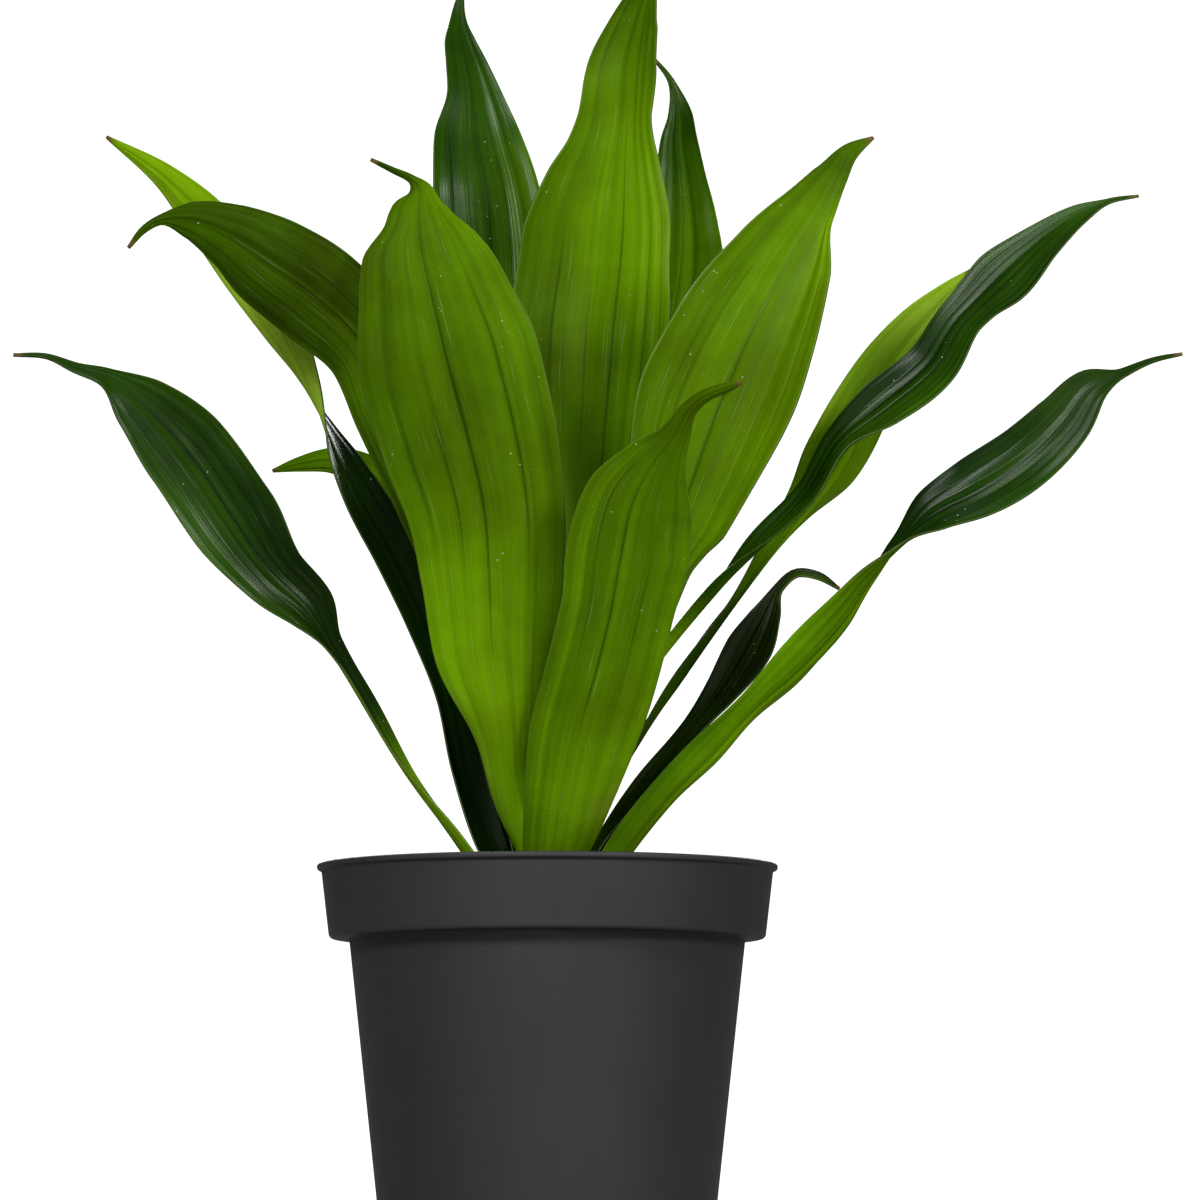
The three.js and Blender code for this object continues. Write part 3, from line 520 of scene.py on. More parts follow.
def rounded(corners, arc_steps=6):
    """An outline through (radius, height, fillet) corners, with each fillet drawn as an arc."""
    points = []
    for i, (r, z, fillet) in enumerate(corners):
        here = Vector((r, z))
        if not fillet or i in (0, len(corners) - 1):
            points.append(here)
            continue
        before = Vector(corners[i - 1][:2]) - here
        after = Vector(corners[i + 1][:2]) - here
        size = min(fillet, before.length * 0.45, after.length * 0.45)
        start, end = here + before.normalized() * size, here + after.normalized() * size
        for step in range(arc_steps + 1):
            u = step / arc_steps
            points.append(start * (1 - u) ** 2 + here * 2 * u * (1 - u) + end * u * u)
    return points


DOUBLES = 1e-6  # metres within which two points are one


def spun(outline, sides):
    """A bmesh turned about the vertical axis from (radius, height) points in millimetres."""
    bm = bmesh.new()
    ring = [bm.verts.new((r * MM, 0, z * MM)) for r, z in outline]
    edges = [bm.edges.new(pair) for pair in zip(ring, ring[1:])]
    bmesh.ops.spin(
        bm, geom=ring + edges, cent=(0, 0, 0), axis=(0, 0, 1), dvec=(0, 0, 0), angle=2 * math.pi,
        steps=sides, use_merge=True, use_duplicate=False,
    )
    bmesh.ops.remove_doubles(bm, verts=bm.verts, dist=DOUBLES)
    bmesh.ops.recalc_face_normals(bm, faces=bm.faces)
    return bm


# ---------------- shader helpers


class Nodes:
    """Adds nodes to a tree, left to right, and links them."""

    def __init__(self, tree):
        self.tree = tree

    def add(self, kind, settings=None, **inputs):
        """A new node. An underscore in an input's name stands for a space."""
        node = self.tree.nodes.new(kind)
        node.location = (200 * len(self.tree.nodes), 0)
        for name, value in (settings or {}).items():
            setattr(node, name, value)
        self.fill(node, inputs)
        return node

    def fill(self, node, inputs):
        for name, value in inputs.items():
            self.feed(node.inputs[name.replace("_", " ")], value)

    def feed(self, socket, value):
        if isinstance(value, bpy.types.NodeSocket):
            self.tree.links.new(value, socket)
        else:
            socket.default_value = value

    def math(self, operation, *values):
        node = self.add("ShaderNodeMath", {"operation": operation})
        for socket, value in zip(node.inputs, values):
            self.feed(socket, value)
        return node.outputs[0]

    def total(self, value, *others):
        for other in others:
            value = self.math("ADD", value, other)
        return value

    def swing(self, mask, amount):
        """How far a mask is from its middle, 0.5, times an amount."""
        return self.math("MULTIPLY", self.math("SUBTRACT", mask, 0.5), amount)

    def fade(self, value, low, high):
        """0 where value is low, 1 where it is high, smooth between."""
        node = self.add("ShaderNodeMapRange", {"interpolation_type": "SMOOTHSTEP", "clamp": True})
        for socket, given in zip(node.inputs, (value, low, high, 0.0, 1.0)):
            self.feed(socket, given)
        return node.outputs[0]

    def mix(self, factor, first, second, blend="MIX"):
        node = self.add("ShaderNodeMix", {"data_type": "RGBA", "blend_type": blend})
        for name, value in (("Factor", factor), ("A", first), ("B", second)):
            socket = next(s for s in node.inputs if s.name == name and s.enabled)
            self.feed(socket, value)
        return next(s for s in node.outputs if s.enabled)

    def ramp(self, factor, *stops):
        node = self.add("ShaderNodeValToRGB", Fac=factor)
        elements = node.color_ramp.elements
        for i, (place, colour) in enumerate(stops):
            element = elements[i] if i < len(elements) else elements.new(place)
            element.position = place
            element.color = (*colour, 1)
        return node.outputs["Color"]

    def noise(self, where, scale, detail, roughness=0.5):
        grain = {"Scale": scale, "Detail": detail, "Roughness": roughness}
        return self.add("ShaderNodeTexNoise", Vector=where, **grain).outputs["Fac"]

    def attribute(self, name):
        return self.add("ShaderNodeAttribute", {"attribute_name": name}).outputs["Fac"]

    def place(self, scale=None):
        """Place on the object, squeezed along its axes by a scale."""
        where = self.add("ShaderNodeTexCoord").outputs["Object"]
        return self.add("ShaderNodeMapping", Vector=where, Scale=scale).outputs[0] if scale else where

    def dress(self, shader, colour, height, strength, depth, **others):
        """Gives a shader its colour, and a bump of this depth in millimetres."""
        bump = self.add("ShaderNodeBump", Strength=strength, Distance=depth * MM, Height=height)
        self.fill(shader, {"Base Color": colour, "Normal": bump.outputs["Normal"], **others})


def new_material(name, **inputs):
    """A material, its node helper and its Principled shader, set to these inputs."""
    material = bpy.data.materials.new(name)
    material.use_nodes = True
    shader = material.node_tree.nodes["Principled BSDF"]
    nodes = Nodes(material.node_tree)
    nodes.fill(shader, inputs)
    return material, nodes, shader


def shades(colour, *shares):
    """Darker and paler shades of one colour."""
    return [tuple(min(1, c * share) for c in colour) for share in shares]


# ---------------- materials

# noise cells across a leaf's width, and how far a speck reaches in its cell
LEAF_MARKS = {"Vein lines": 60.0, "Band lines": 10.0, "Scratch lines": 150.0, "Speck size": 0.085}


def leaf_marks_group():
    """Masks over a leaf: its fine veins, broad bands, pale margin, dry tip, specks and patches."""
    group = bpy.data.node_groups.new("Leaf marks", "ShaderNodeTree")
    for label, value in LEAF_MARKS.items():
        socket = group.interface.new_socket(label, in_out="INPUT", socket_type="NodeSocketFloat")
        socket.default_value = value
    nodes = Nodes(group)
    given = group.nodes.new("NodeGroupInput").outputs
    split = nodes.add(
        "ShaderNodeSeparateXYZ", Vector=nodes.add("ShaderNodeUVMap", {"uv_map": "UVMap"}).outputs["UV"]
    )
    across, along = split.outputs["X"], split.outputs["Y"]
    from_middle = nodes.math("ABSOLUTE", nodes.math("SUBTRACT", across, 0.5))
    seed, breadth = nodes.attribute("leaf_seed"), nodes.attribute("leaf_breadth")

    def streaks(lines, stretch, detail, offset):
        """Noise drawn out along the leaf, and weaker where the leaf is narrow."""
        x = nodes.math("MULTIPLY", across, lines)
        y = nodes.math("MULTIPLY", along, stretch)
        z = nodes.math("ADD", nodes.math("MULTIPLY", seed, 13.0), offset)
        place = nodes.add("ShaderNodeCombineXYZ", X=x, Y=y, Z=z).outputs[0]
        swing = nodes.math("SUBTRACT", nodes.noise(place, 1.0, detail, 0.6), 0.5)
        return nodes.math("MULTIPLY_ADD", swing, breadth, 0.5)

    where = nodes.place()
    spots = nodes.add(
        "ShaderNodeTexVoronoi", {"feature": "F1"}, Vector=where, Scale=240.0, Randomness=1.0
    )
    dusty = nodes.fade(nodes.noise(where, 60.0, 1.0), 0.45, 0.70)
    speck_size = nodes.math("MULTIPLY", dusty, given["Speck size"])
    masks = {
        "Veins": streaks(given["Vein lines"], 1.5, 1.5, 0.0),
        "Bands": streaks(given["Band lines"], 0.7, 1.5, 5.0),
        "Margin": nodes.fade(from_middle, 0.486, 0.498),
        "Tip": nodes.fade(along, 0.985, 0.998),
        "Specks": nodes.math("LESS_THAN", spots.outputs["Distance"], speck_size),
        "Mottle": nodes.noise(where, 45.0, 4.0, 0.6),
        "Scratches": nodes.fade(streaks(given["Scratch lines"], 9.0, 1.0, 9.0), 0.66, 0.78),
        "Patches": nodes.fade(nodes.noise(where, 17.0, 2.0), 0.45, 0.70),
    }
    output = group.nodes.new("NodeGroupOutput")
    for label, mask in masks.items():
        group.interface.new_socket(label, in_out="OUTPUT", socket_type="NodeSocketFloat")
        nodes.feed(output.inputs[label], mask)
    return group


LEAF_PALETTE = (
    # tone, colour of a green leaf, colour of an olive one; the whitish palest row is partly the pale base of
    # young leaves and partly painted sheen where the tones reach it
    (0.0, (0.002, 0.006, 0.002), (0.004, 0.006, 0.003)),
    (0.25, (0.0095, 0.033, 0.002), (0.015, 0.033, 0.001)),
    (0.5, (0.032, 0.095, 0.002), (0.045, 0.095, 0.001)),
    (0.75, (0.098, 0.215, 0.001), (0.106, 0.215, 0.001)),
    (1.0, (0.200, 0.390, 0.004), (0.200, 0.390, 0.004)),
    (1.25, (0.380, 0.580, 0.060), (0.380, 0.580, 0.060)),
)
PALEST = LEAF_PALETTE[-1][0]
TONE_SWINGS = {"Veins": 0.12, "Bands": 0.40, "Mottle": 0.22}
FURROW_PAINTED_SHADE = 0.05  # painted shade: how much darker a furrow is, and its sharp bottom on top of that
CREASE_PAINTED_SHADE = 0.17
DUST = (0.42, 0.52, 0.34, 1)
OLIVE_PATCH = (0.98, 0.86, 0.70, 1)
LEAF_SIDES = (
    # name, roughness, how far the bands change it, depth of the veins in millimetres, specular level
    ("Mature leaf upper side", 0.27, 0.20, 0.20, 0.13),
    ("Young leaf upper side", 0.34, 0.20, 0.20, 0.04),
    ("Leaf under side", 0.50, 0.16, 0.25, 0.03),
)


def leaf_ramp(nodes, place, column, tint):
    """The colours of one kind of leaf by tone, times the tint."""
    stops = []
    for row in LEAF_PALETTE:
        stops.append((row[0] / PALEST, tuple(c * share for c, share in zip(row[column], tint))))
    return nodes.ramp(place, *stops)


def leaf_material(settings, marks, name, roughness, sheen_bands, vein_depth, specular):
    """Living leaf, with a tone that each face gives, painted shade and sheen included, painted shade in its
    furrows, and the marks of its veins and margins.
    """
    material, nodes, shader = new_material(name, Specular_IOR_Level=specular)
    group = nodes.add("ShaderNodeGroup", {"node_tree": marks})
    nodes.fill(group, LEAF_MARKS)
    mark = group.outputs
    fold = nodes.attribute("leaf_fold")
    swings = [nodes.swing(mark[label], amount) for label, amount in TONE_SWINGS.items()]
    tone = nodes.total(nodes.attribute("leaf_tone"), *swings)
    # painted shade: darker in the furrows, and darker still at their sharp bottoms
    tone = nodes.math("MULTIPLY_ADD", fold, -FURROW_PAINTED_SHADE, tone)
    tone = nodes.math("MULTIPLY_ADD", nodes.fade(fold, 0.45, 1.0), -CREASE_PAINTED_SHADE, tone)
    place = nodes.math("DIVIDE", tone, PALEST)
    green, olive = (leaf_ramp(nodes, place, column, settings.leaf_tint) for column in (1, 2))
    colour = nodes.mix(nodes.attribute("leaf_olive"), green, olive)
    colour = nodes.mix(mark["Patches"], colour, OLIVE_PATCH, "MULTIPLY")
    for label, share, over in (
        ("Margin", 0.2, (*settings.margin_colour, 1)),
        ("Tip", 1.0, (*settings.dry_tip_colour, 1)),
        ("Specks", 0.6, DUST),
        ("Scratches", 0.22, DUST),
    ):
        colour = nodes.mix(nodes.math("MULTIPLY", mark[label], share), colour, over)
    dull = nodes.total(nodes.swing(mark["Bands"], -sheen_bands), nodes.swing(mark["Veins"], 0.10), roughness)
    height = nodes.math("MULTIPLY_ADD", mark["Mottle"], 0.1, mark["Veins"])
    nodes.dress(shader, colour, height, 0.5, vein_depth, Roughness=dull)
    return material


def pot_material(base):
    """Dark grey moulded plastic with a fine grain and faint upright flow marks."""
    material, nodes, shader = new_material("Pot plastic")
    where = nodes.place()
    grain = nodes.noise(where, 1400.0, 3.0)
    flow = nodes.noise(nodes.place((90.0, 90.0, 6.0)), 1.0, 4.0)
    cloud = nodes.noise(where, 14.0, 3.0)
    blend = nodes.total(nodes.math("MULTIPLY", flow, 0.4), nodes.math("MULTIPLY", cloud, 0.6))
    dark, pale = shades(base, 0.86, 1.16)
    height = nodes.math("MULTIPLY_ADD", flow, 0.5, grain)
    colour = nodes.ramp(blend, (0.3, dark), (0.7, pale))
    nodes.dress(shader, colour, height, 0.25, 0.08, Roughness=nodes.fade(grain, -1.4, 2.2))
    return material


def soil_material(name, dark, light):
    """Crumbly earth or bark between two colours."""
    material, nodes, shader = new_material(name, Roughness=0.95, Specular_IOR_Level=0.2)
    where = nodes.place()
    crumbs = nodes.noise(where, 420.0, 6.0, 0.7)
    blend = nodes.math("MULTIPLY", nodes.total(crumbs, nodes.noise(where, 60.0, 3.0)), 0.5)
    nodes.dress(shader, nodes.ramp(blend, (0.35, dark), (0.68, light)), crumbs, 0.9, 0.9)
    return material


def stem_material():
    """Greenish young bark with brown rings where leaves have fallen."""
    material, nodes, shader = new_material("Stem bark", Roughness=0.65)
    rings = nodes.noise(nodes.place((60.0, 60.0, 420.0)), 1.0, 3.0)
    brown, olive, green = (0.20, 0.13, 0.05), (0.24, 0.24, 0.08), (0.30, 0.34, 0.12)
    nodes.dress(shader, nodes.ramp(rings, (0.3, brown), (0.5, olive), (0.7, green)), rings, 0.6, 0.4)
    return material


# ---------------- properties

COLOUR = {"subtype": "COLOR", "min": 0, "max": 1}


class DragonTreeSettings(bpy.types.PropertyGroup):
    pot_height: bpy.props.FloatProperty(
        name="Pot height", description="Height of the pot", default=round(POT_TOP[2], 4), unit="LENGTH"
    )
    rim_radius: bpy.props.FloatProperty(
        name="Rim radius", description="Outer radius of the lip", default=round(POT_TOP[0], 4), unit="LENGTH"
    )
    pot_sides: bpy.props.IntProperty(
        name="Pot sides", description="Faces round the pot", default=160, min=24
    )
    leaf_rows: bpy.props.FloatProperty(
        name="Leaf row", description="Length of a face along a leaf", default=1.9 * MM, unit="LENGTH"
    )
    leaf_columns: bpy.props.IntProperty(
        name="Leaf columns", description="Faces across a leaf", default=64, min=6
    )
    blade_thickness: bpy.props.FloatProperty(
        name="Blade thickness", description="Thickness of a leaf", default=0.65 * MM, unit="LENGTH"
    )
    crumbs: bpy.props.IntProperty(
        name="Crumbs", description="Loose crumbs that lie on the soil", default=420, min=0
    )
    pot_colour: bpy.props.FloatVectorProperty(
        name="Pot colour", description="Colour of the pot's plastic", default=(0.036, 0.036, 0.037), **COLOUR
    )
    soil_colour: bpy.props.FloatVectorProperty(
        name="Soil colour", description="Colour of the potting soil", default=(0.035, 0.021, 0.012), **COLOUR
    )
    leaf_tint: bpy.props.FloatVectorProperty(
        name="Leaf tint", description="Multiplies the colours of every leaf", default=(1, 1, 1), **COLOUR
    )
    margin_colour: bpy.props.FloatVectorProperty(
        name="Margin colour", description="Pale line along a leaf's edge", default=(0.3, 0.4, 0.16), **COLOUR
    )
    dry_tip_colour: bpy.props.FloatVectorProperty(
        name="Dry tip colour", description="Dried point of a leaf", default=(0.16, 0.11, 0.035), **COLOUR
    )
    key_power: bpy.props.FloatProperty(
        name="Key light", description="Power of the key softbox", default=29, unit="POWER"
    )
    camera_lens: bpy.props.FloatProperty(
        name="Lens", description="Focal length in millimetres", default=200, unit="CAMERA"
    )


# ---------------- the pot

POT = {
    "band_top": 83.3, "band_foot": 80.4, "band_depth": 27.5, "body_top": 73, "foot": 59.7,
    "wall": 1.5, "floor": 1.8,
    "groove_inner": 25, "groove_outer": 47, "groove_depth": 2.5, "groove_ramp": 2,
    "drain_holes": 8, "drain_radius": 4, "fewest_faces": 1000,
}


def pot_outline(height, rim):
    """The pot's section as (radius, height, fillet) corners, from the middle of its underside."""
    wall, floor, ramp, depth = POT["wall"], POT["floor"], POT["groove_ramp"], POT["groove_depth"]
    inner, outer = POT["groove_inner"], POT["groove_outer"]
    band_foot = height - POT["band_depth"]
    lean = (POT["body_top"] - POT["foot"]) / band_foot
    inside = POT["foot"] - wall
    return (
        (0, 0, 0),
        (inner, 0, 0.6),
        (inner + ramp, depth, 0.6),
        (outer - ramp, depth, 0.6),
        (outer, 0, 0.6),
        (POT["foot"], 0, 1.2),
        (POT["body_top"], band_foot, 0.4),
        (POT["band_foot"], band_foot, 1.8),
        (POT["band_top"], height - 2.7, 0.9),
        (rim - 0.1, height - 2.1, 0.6),
        (rim, height - 0.5, 0.8),
        (rim - 1.1, height, 0.7),
        (POT["band_top"] - wall, height, 0.7),
        (POT["band_foot"] - wall, band_foot + 3, 1.0),
        (inside + lean * band_foot, band_foot + wall, 1.0),
        (inside + lean * floor, floor, 1.5),
        (outer + 0.7, floor, 0.5),
        (outer - ramp + 0.7, depth + floor, 0.5),
        (inner + ramp - 0.7, depth + floor, 0.5),
        (inner - 0.7, floor, 0.5),
        (0, floor, 0),
    )


class OBJECT_OT_dragon_tree_pot(bpy.types.Operator):
    """Build the nursery pot with its rolled lip, band and drain holes"""

    bl_idname = "object.dragon_tree_pot"
    bl_label = "Build pot"

    def execute(self, context):
        settings = context.scene.dragon_tree
        outline = rounded(pot_outline(settings.pot_height / MM, settings.rim_radius / MM))
        pot = new_piece("nursery_pot", spun(outline, settings.pot_sides), [pot_material(settings.pot_colour)])
        self.drill(pot)
        put_in_place(pot, "pot", "pot")
        return {"FINISHED"}

    def drill(self, pot):
        """Cuts the drain holes in the underside's raised ring."""
        bm = bmesh.new()
        middle = (POT["groove_inner"] + POT["groove_outer"]) / 2 * MM
        radius = POT["drain_radius"] * MM
        for i in range(POT["drain_holes"]):
            angle = 2 * math.pi * (i + 0.5) / POT["drain_holes"]
            cone = bmesh.ops.create_cone(
                bm, cap_ends=True, segments=32, radius1=radius, radius2=radius, depth=20 * MM
            )
            offset = (middle * math.cos(angle), middle * math.sin(angle), 0)
            bmesh.ops.translate(bm, verts=cone["verts"], vec=offset)
        cutter = new_piece("drain_cutter", bm, [])
        cut = pot.modifiers.new("Drain holes", "BOOLEAN")
        cut.object = cutter
        cut.operation = "DIFFERENCE"
        cut.solver = "EXACT"
        graph = bpy.context.evaluated_depsgraph_get()
        drilled = bpy.data.meshes.new_from_object(pot.evaluated_get(graph))
        pot.modifiers.clear()
        pot.data = drilled
        bpy.data.objects.remove(cutter)
        bm = bmesh.new()
        bm.from_mesh(drilled)
        bmesh.ops.remove_doubles(bm, verts=bm.verts, dist=DOUBLES)
        bm.to_mesh(drilled)
        bm.free()
        if len(drilled.polygons) < POT["fewest_faces"]:
            raise RuntimeError("the drain holes cut the pot away")
        drilled.polygons.foreach_set("use_smooth", [True] * len(drilled.polygons))
        drilled.set_sharp_from_angle(angle=math.radians(50))


# ---------------- the soil

SOIL = {
    "level": 115, "foot": 2.1, "corner": 6, "chamfer": 1.5, "shoulder": 3, "lump": 1.6, "rings": 60,
    "narrowest": 10,
}
SOIL_BED = ((0, 2.1), (23.5, 2.1), (26, 4.6), (46, 4.6), (48.5, 2.1))  # over the pot's raised ring
CRUMB_SIZES = (0.8, 2.4)
CRUMB_KINDS = (7, 3, 0.6)  # shares of peat, bark and perlite


def inner_radius(z, pot_height):
    """Radius of the inside of the pot's tapering body at height z, in millimetres."""
    lean = (POT["body_top"] - POT["foot"]) / (pot_height - POT["band_depth"])
    return POT["foot"] + lean * z - POT["wall"]


def soil_height(x, y):
    """Height of the soil's surface in millimetres."""
    r = math.hypot(x, y)
    lumps = math.sin(0.21 * x + 1.3) * math.cos(0.17 * y + 0.4)
    lumps += 0.6 * math.sin(0.43 * x - 0.31 * y) + 0.5 * math.cos(0.52 * y + 0.19 * x + 2)
    clear = float(smoothstep(r, STEM["radius"], STEM["radius"] + 8))
    crumbs = noise.noise(Vector((x * 0.5, y * 0.5, 3))) + 0.5 * noise.noise(Vector((x * 1.3, y * 1.3, 9)))
    return SOIL["level"] + SOIL["lump"] * lumps * clear - 0.02 * r + 0.8 * crumbs * clear


class OBJECT_OT_dragon_tree_soil(bpy.types.Operator):
    """Build the potting soil, and the loose crumbs on it"""

    bl_idname = "object.dragon_tree_soil"
    bl_label = "Build soil"

    def execute(self, context):
        settings = context.scene.dragon_tree
        earth = soil_material("Potting soil", *shades(settings.soil_colour, 0.3, 1.7))
        level, rings, shoulder = SOIL["level"], SOIL["rings"], SOIL["level"] - SOIL["shoulder"]
        pot_height = settings.pot_height / MM
        foot = inner_radius(SOIL["foot"], pot_height) - SOIL["chamfer"]
        low_edge = inner_radius(SOIL["corner"], pot_height) - CLEARANCE
        rim = inner_radius(shoulder, pot_height) - CLEARANCE
        hole, hole_foot = STEM["radius"] + CLEARANCE, STEM["foot"] - CLEARANCE
        if rim <= hole + SOIL["narrowest"]:
            raise RuntimeError("the pot is too narrow for its soil")
        outline = [*SOIL_BED, (foot, SOIL["foot"]), (low_edge, SOIL["corner"]), (rim, shoulder)]
        outline += [(rim - 1 + (hole - rim + 1) * i / rings, level) for i in range(rings + 1)]
        bm = spun([*outline, (hole, hole_foot), (0, hole_foot)], settings.pot_sides)
        for vert in bm.verts:
            if abs(vert.co.z - level * MM) < 1e-5:
                vert.co.z = soil_height(vert.co.x / MM, vert.co.y / MM) * MM
        put_in_place(new_piece("potting_soil", bm, [earth]), "soil", "soil")
        self.scatter(settings.crumbs, rim, earth)
        return {"FINISHED"}

    def scatter(self, count, rim, earth):
        """Crumbs of peat, bark and perlite, half sunk in the soil's surface."""
        bark = soil_material("Bark chips", (0.050, 0.024, 0.010), (0.160, 0.085, 0.040))
        perlite = soil_material("Perlite", (0.30, 0.28, 0.23), (0.50, 0.47, 0.41))
        draw = random.Random(SEED)
        bm = bmesh.new()
        for _ in range(count):
            angle = draw.uniform(0, 2 * math.pi)
            size = draw.uniform(*CRUMB_SIZES)
            r = math.sqrt(draw.uniform(0.045, 1)) * (rim - 3)
            x, y = r * math.cos(angle), r * math.sin(angle)
            ball = bmesh.ops.create_icosphere(bm, subdivisions=2, radius=size * MM)["verts"]
            kind = draw.choices((0, 1, 2), CRUMB_KINDS)[0]
            stretch = Vector((draw.uniform(0.7, 1.5), draw.uniform(0.6, 1), draw.uniform(0.4, 0.8)))
            spin = draw.uniform(0, math.pi)
            cos, sin = math.cos(spin), math.sin(spin)
            middle = Vector((x, y, soil_height(x, y) + size * 0.15)) * MM
            for vert in ball:
                rough = 1 + 0.35 * noise.noise(vert.co / MM * 0.9 + Vector((x, y, 0)))
                long, wide, high = vert.co * stretch * rough
                vert.co = middle + Vector((long * cos - wide * sin, long * sin + wide * cos, high))
            for face in {face for vert in ball for face in vert.link_faces}:
                face.material_index = kind
        crumbs = new_piece("soil_crumbs", bm, [earth, bark, perlite])
        put_in_place(crumbs, "soil")


# ---------------- the stem


class OBJECT_OT_dragon_tree_stem(bpy.types.Operator):
    """Build the short stem with its leaf scars"""

    bl_idname = "object.dragon_tree_stem"
    bl_label = "Build stem"

    def execute(self, context):
        steps, sides = 150, 48
        foot, tip = STEM["foot"], STEM["tip"]
        outline = [(0, foot), (STEM["radius"] - 2, foot)]
        for i in range(steps + 1):
            z = foot + 2 + (tip - foot - 2) * i / steps
            scar = STEM_SCAR["depth"] * (0.5 + 0.5 * math.cos(2 * math.pi * z / STEM_SCAR["spacing"])) ** 6
            outline.append((float(stem_radius(z)) - scar, z))
        outline += [(STEM["tip_radius"] * 0.6, tip + 1.2), (0, tip + 1.6)]
        stem = new_piece("stem_cane", spun(outline, sides), [stem_material()])
        put_in_place(stem, "stem", "stem")
        return {"FINISHED"}


# ---------------- the leaves

EDGE_PAINTED_SHADE = 0.6  # painted shade: tone of a leaf's thin edge, as a share of its upper side's


class OBJECT_OT_dragon_tree_leaves(bpy.types.Operator):
    """Build every leaf as a thin shell with its furrows, waved margins and two sides"""

    bl_idname = "object.dragon_tree_leaves"
    bl_label = "Build leaves"

    def execute(self, context):
        boxes = np.array([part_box("leaf_" + name) for name in LEAVES])
        self.limits = boxes[:, 0].min(axis=0), boxes[:, 1].max(axis=0)
        settings, marks = context.scene.dragon_tree, leaf_marks_group()
        glossy, satin, under = (leaf_material(settings, marks, *side) for side in LEAF_SIDES)
        for number, (name, leaf) in enumerate(LEAVES.items()):
            upper = satin if name in YOUNG else glossy
            self.build(settings, name, leaf, number / len(LEAVES), [upper, under])
        return {"FINISHED"}

    def build(self, settings, name, leaf, seed, materials):
        surface = LeafSurface(leaf)
        rows = round(surface.length * MM / settings.leaf_rows)
        bm = bmesh.new()
        bm.loops.layers.uv.new("UVMap")
        edges = bm.faces.layers.int.new("leaf_edge")
        folds = bm.verts.layers.float.new("leaf_fold")
        bmesh.ops.create_grid(
            bm, x_segments=settings.leaf_columns, y_segments=rows, size=1, calc_uvs=True
        )
        grid = np.array([vert.co for vert in bm.verts])
        across, along = grid[:, 0], (grid[:, 1] + 1) / 2 * surface.length
        depths, points = surface.folds(along, across), surface.at(along, across) * MM
        for vert, depth, point in zip(bm.verts, depths, points):
            vert[folds] = depth
            vert.co = point
        bm.normal_update()
        thickness = settings.blade_thickness
        for vert in bm.verts:
            vert.co += vert.normal * thickness / 2
        top_faces, top_verts = set(bm.faces), set(bm.verts)
        bmesh.ops.solidify(bm, geom=list(bm.faces), thickness=thickness)
        for face in bm.faces:
            face.material_index = int(top_verts.isdisjoint(face.verts))
            face[edges] = face.material_index == 0 and face not in top_faces
        low, high = self.limits
        for vert in bm.verts:
            vert.co = [min(max(c, a), b) for c, a, b in zip(vert.co, low, high)]
        blade = new_piece("blade_" + name, bm, materials)
        self.paint(blade.data, surface, leaf["olive"], seed)
        slot = "young_leaf" if name in YOUNG else "mature_leaf"
        put_in_place(blade, slot, "leaf_" + name)

    def paint(self, mesh, surface, olive, seed):
        """Gives each face its tone, with its painted shade and sheen, how olive and broad it is, and a number
        that sets its veins.
        """
        count = len(mesh.polygons)
        corners = np.empty(8 * count)
        mesh.uv_layers["UVMap"].data.foreach_get("uv", corners)
        across, along = corners.reshape(count, 4, 2).mean(axis=1).T
        side, edge = np.empty(count, int), np.empty(count, int)
        mesh.polygons.foreach_get("material_index", side)
        mesh.attributes["leaf_edge"].data.foreach_get("value", edge)
        upper, under = (surface.tone(which, along, 2 * across - 1) for which in (0, 1))
        # painted shade: a leaf's thin edge faces are darker than the side they belong to
        for name, values in (
            ("leaf_tone", np.where(side == 0, upper, under) * np.where(edge, EDGE_PAINTED_SHADE, 1)),
            ("leaf_breadth", surface.breadth(along)),
            ("leaf_olive", np.full(count, olive)),
            ("leaf_seed", np.full(count, seed)),
        ):
            mesh.attributes.new(name, "FLOAT", "FACE").data.foreach_set("value", values)


# ---------------- the studio

CAMERA_AIM = Vector((19.4, 0, 248)) * MM
CAMERA_PITCH = math.radians(5.6)
VIEW_WIDTH = 444.4 * MM
SENSOR = 36
FLOOR_RADIUS = 5
FLOOR_DROP = 0.2 * MM
FILL_LIGHT = 0.12
SOFTBOXES = (
    # name, place, size, share of the key's power
    ("Key softbox", (-0.94, -1.85, 1.45), 0.6, 1.0),
    ("Right softbox", (1.43, -1.70, 1.15), 0.6, 0.85),
    ("Front softbox", (0.1, -2.4, 0.35), 1.6, 0.35),
    ("Top softbox", (-0.1, 0.1, 2.3), 1.1, 0.2),
    ("Back left softbox", (-0.7, 2.15, 1.2), 0.8, 0.45),
    ("Back right softbox", (0.7, 2.15, 1.2), 0.8, 0.45),
)


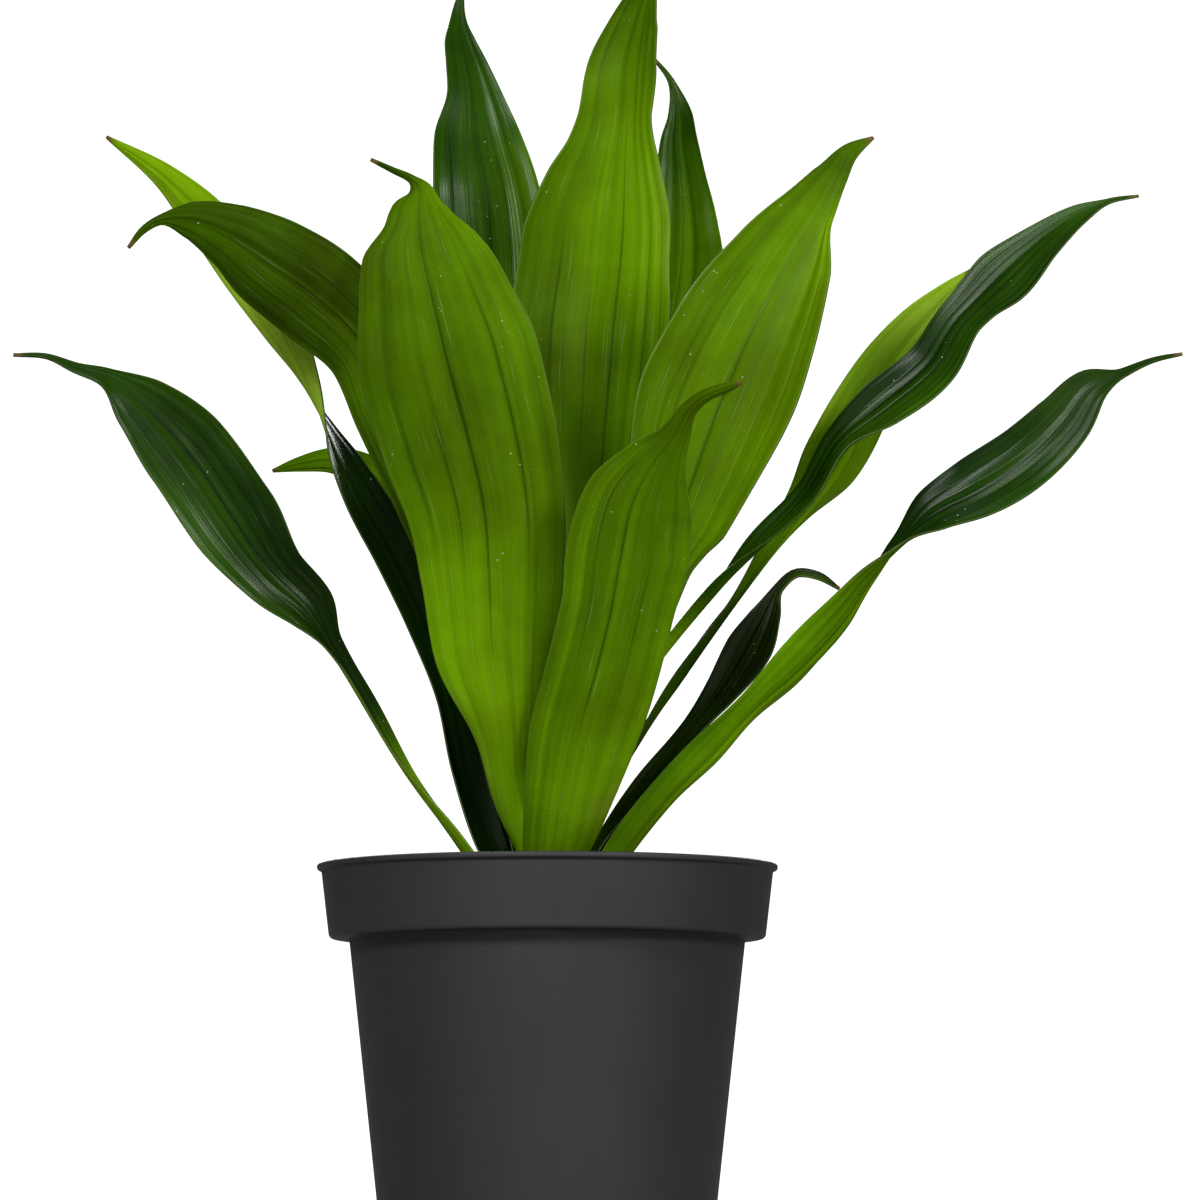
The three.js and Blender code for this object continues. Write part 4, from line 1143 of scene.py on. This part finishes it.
class SCENE_OT_dragon_tree_studio(bpy.types.Operator):
    """Set up the floor, the soft lights, the white surroundings and the camera"""

    bl_idname = "scene.dragon_tree_studio"
    bl_label = "Set up studio"

    def execute(self, context):
        self.floor()
        self.lights(context.scene)
        self.surroundings(context.scene)
        self.camera(context.scene)
        context.scene.view_settings.view_transform = "Standard"
        context.scene.view_settings.look = "Medium High Contrast"
        return {"FINISHED"}

    def floor(self):
        """A pale grey floor that glows white to the camera, more the further out it lies, so that it fades
        into the white surroundings.
        """
        material, nodes, shader = new_material("Studio floor", Roughness=0.7, Emission_Color=(1, 1, 1, 1))
        where = nodes.place()
        haze = nodes.noise(where, 3.0, 2.0)
        distance = nodes.add("ShaderNodeVectorMath", {"operation": "LENGTH"}, Vector=where).outputs["Value"]
        seen = nodes.add("ShaderNodeLightPath").outputs["Is Camera Ray"]
        # painted glow: the floor glows to the camera only, more the further it lies from the plant
        glow = nodes.math("MULTIPLY_ADD", nodes.fade(distance, 0.15, 1.1), 0.6, 0.42)
        colour = nodes.ramp(haze, (0.3, (0.29, 0.29, 0.29)), (0.7, (0.31, 0.31, 0.31)))
        nodes.fill(shader, {"Base Color": colour, "Emission Strength": nodes.math("MULTIPLY", glow, seen)})
        bm = bmesh.new()
        bmesh.ops.create_circle(bm, cap_ends=True, segments=96, radius=FLOOR_RADIUS)
        bmesh.ops.translate(bm, verts=bm.verts, vec=(0, 0, -FLOOR_DROP))
        new_piece("studio_floor", bm, [material], smooth=False)

    def lights(self, scene):
        for name, place, size, share in SOFTBOXES:
            light = bpy.data.lights.new(name, "AREA")
            light.shape = "SQUARE"
            light.size = size
            light.energy = scene.dragon_tree.key_power * share
            box = bpy.data.objects.new(name, light)
            box.location = place
            box.rotation_euler = (CAMERA_AIM - box.location).to_track_quat("-Z", "Y").to_euler()
            box.visible_camera = False
            scene.collection.objects.link(box)

    def surroundings(self, scene):
        """White to the camera, and a softer fill light for the plant."""
        world = bpy.data.worlds.new("Studio white")
        world.use_nodes = True
        nodes = Nodes(world.node_tree)
        seen = nodes.add("ShaderNodeLightPath").outputs["Is Camera Ray"]
        strength = nodes.math("MULTIPLY_ADD", seen, 1 - FILL_LIGHT, FILL_LIGHT)
        nodes.fill(world.node_tree.nodes["Background"], {"Strength": strength, "Color": (1, 1, 1, 1)})
        scene.world = world

    def camera(self, scene):
        lens = scene.dragon_tree.camera_lens
        data = bpy.data.cameras.new("Studio camera")
        data.lens = lens
        data.sensor_width = SENSOR
        data.sensor_fit = "HORIZONTAL"
        distance = VIEW_WIDTH * lens / SENSOR
        camera = bpy.data.objects.new("Studio camera", data)
        back = Vector((0, -math.cos(CAMERA_PITCH), -math.sin(CAMERA_PITCH)))
        camera.location = CAMERA_AIM + back * distance
        camera.rotation_euler = (-back).to_track_quat("-Z", "Y").to_euler()
        scene.collection.objects.link(camera)
        scene.camera = camera


# ---------------- panel, registration and the run


class VIEW3D_PT_dragon_tree(bpy.types.Panel):
    bl_label = "Dragon tree"
    bl_idname = "VIEW3D_PT_dragon_tree"
    bl_space_type = "VIEW_3D"
    bl_region_type = "UI"
    bl_category = "Dragon tree"

    def draw(self, context):
        settings = context.scene.dragon_tree
        for name in DragonTreeSettings.__annotations__:
            self.layout.prop(settings, name)
        for operator in OPERATORS:
            self.layout.operator(operator.bl_idname)


OPERATORS = (
    OBJECT_OT_dragon_tree_pot,
    OBJECT_OT_dragon_tree_soil,
    OBJECT_OT_dragon_tree_stem,
    OBJECT_OT_dragon_tree_leaves,
    SCENE_OT_dragon_tree_studio,
)
CLASSES = (DragonTreeSettings, *OPERATORS, VIEW3D_PT_dragon_tree)


def register():
    for cls in CLASSES:
        bpy.utils.register_class(cls)
    bpy.types.Scene.dragon_tree = bpy.props.PointerProperty(type=DragonTreeSettings)


def unregister():
    del bpy.types.Scene.dragon_tree
    for cls in reversed(CLASSES):
        bpy.utils.unregister_class(cls)


def main():
    """Builds the whole scene."""
    register()
    bpy.ops.object.dragon_tree_pot()
    bpy.ops.object.dragon_tree_soil()
    bpy.ops.object.dragon_tree_stem()
    bpy.ops.object.dragon_tree_leaves()
    bpy.ops.scene.dragon_tree_studio()


if __name__ == "__main__":
    main()
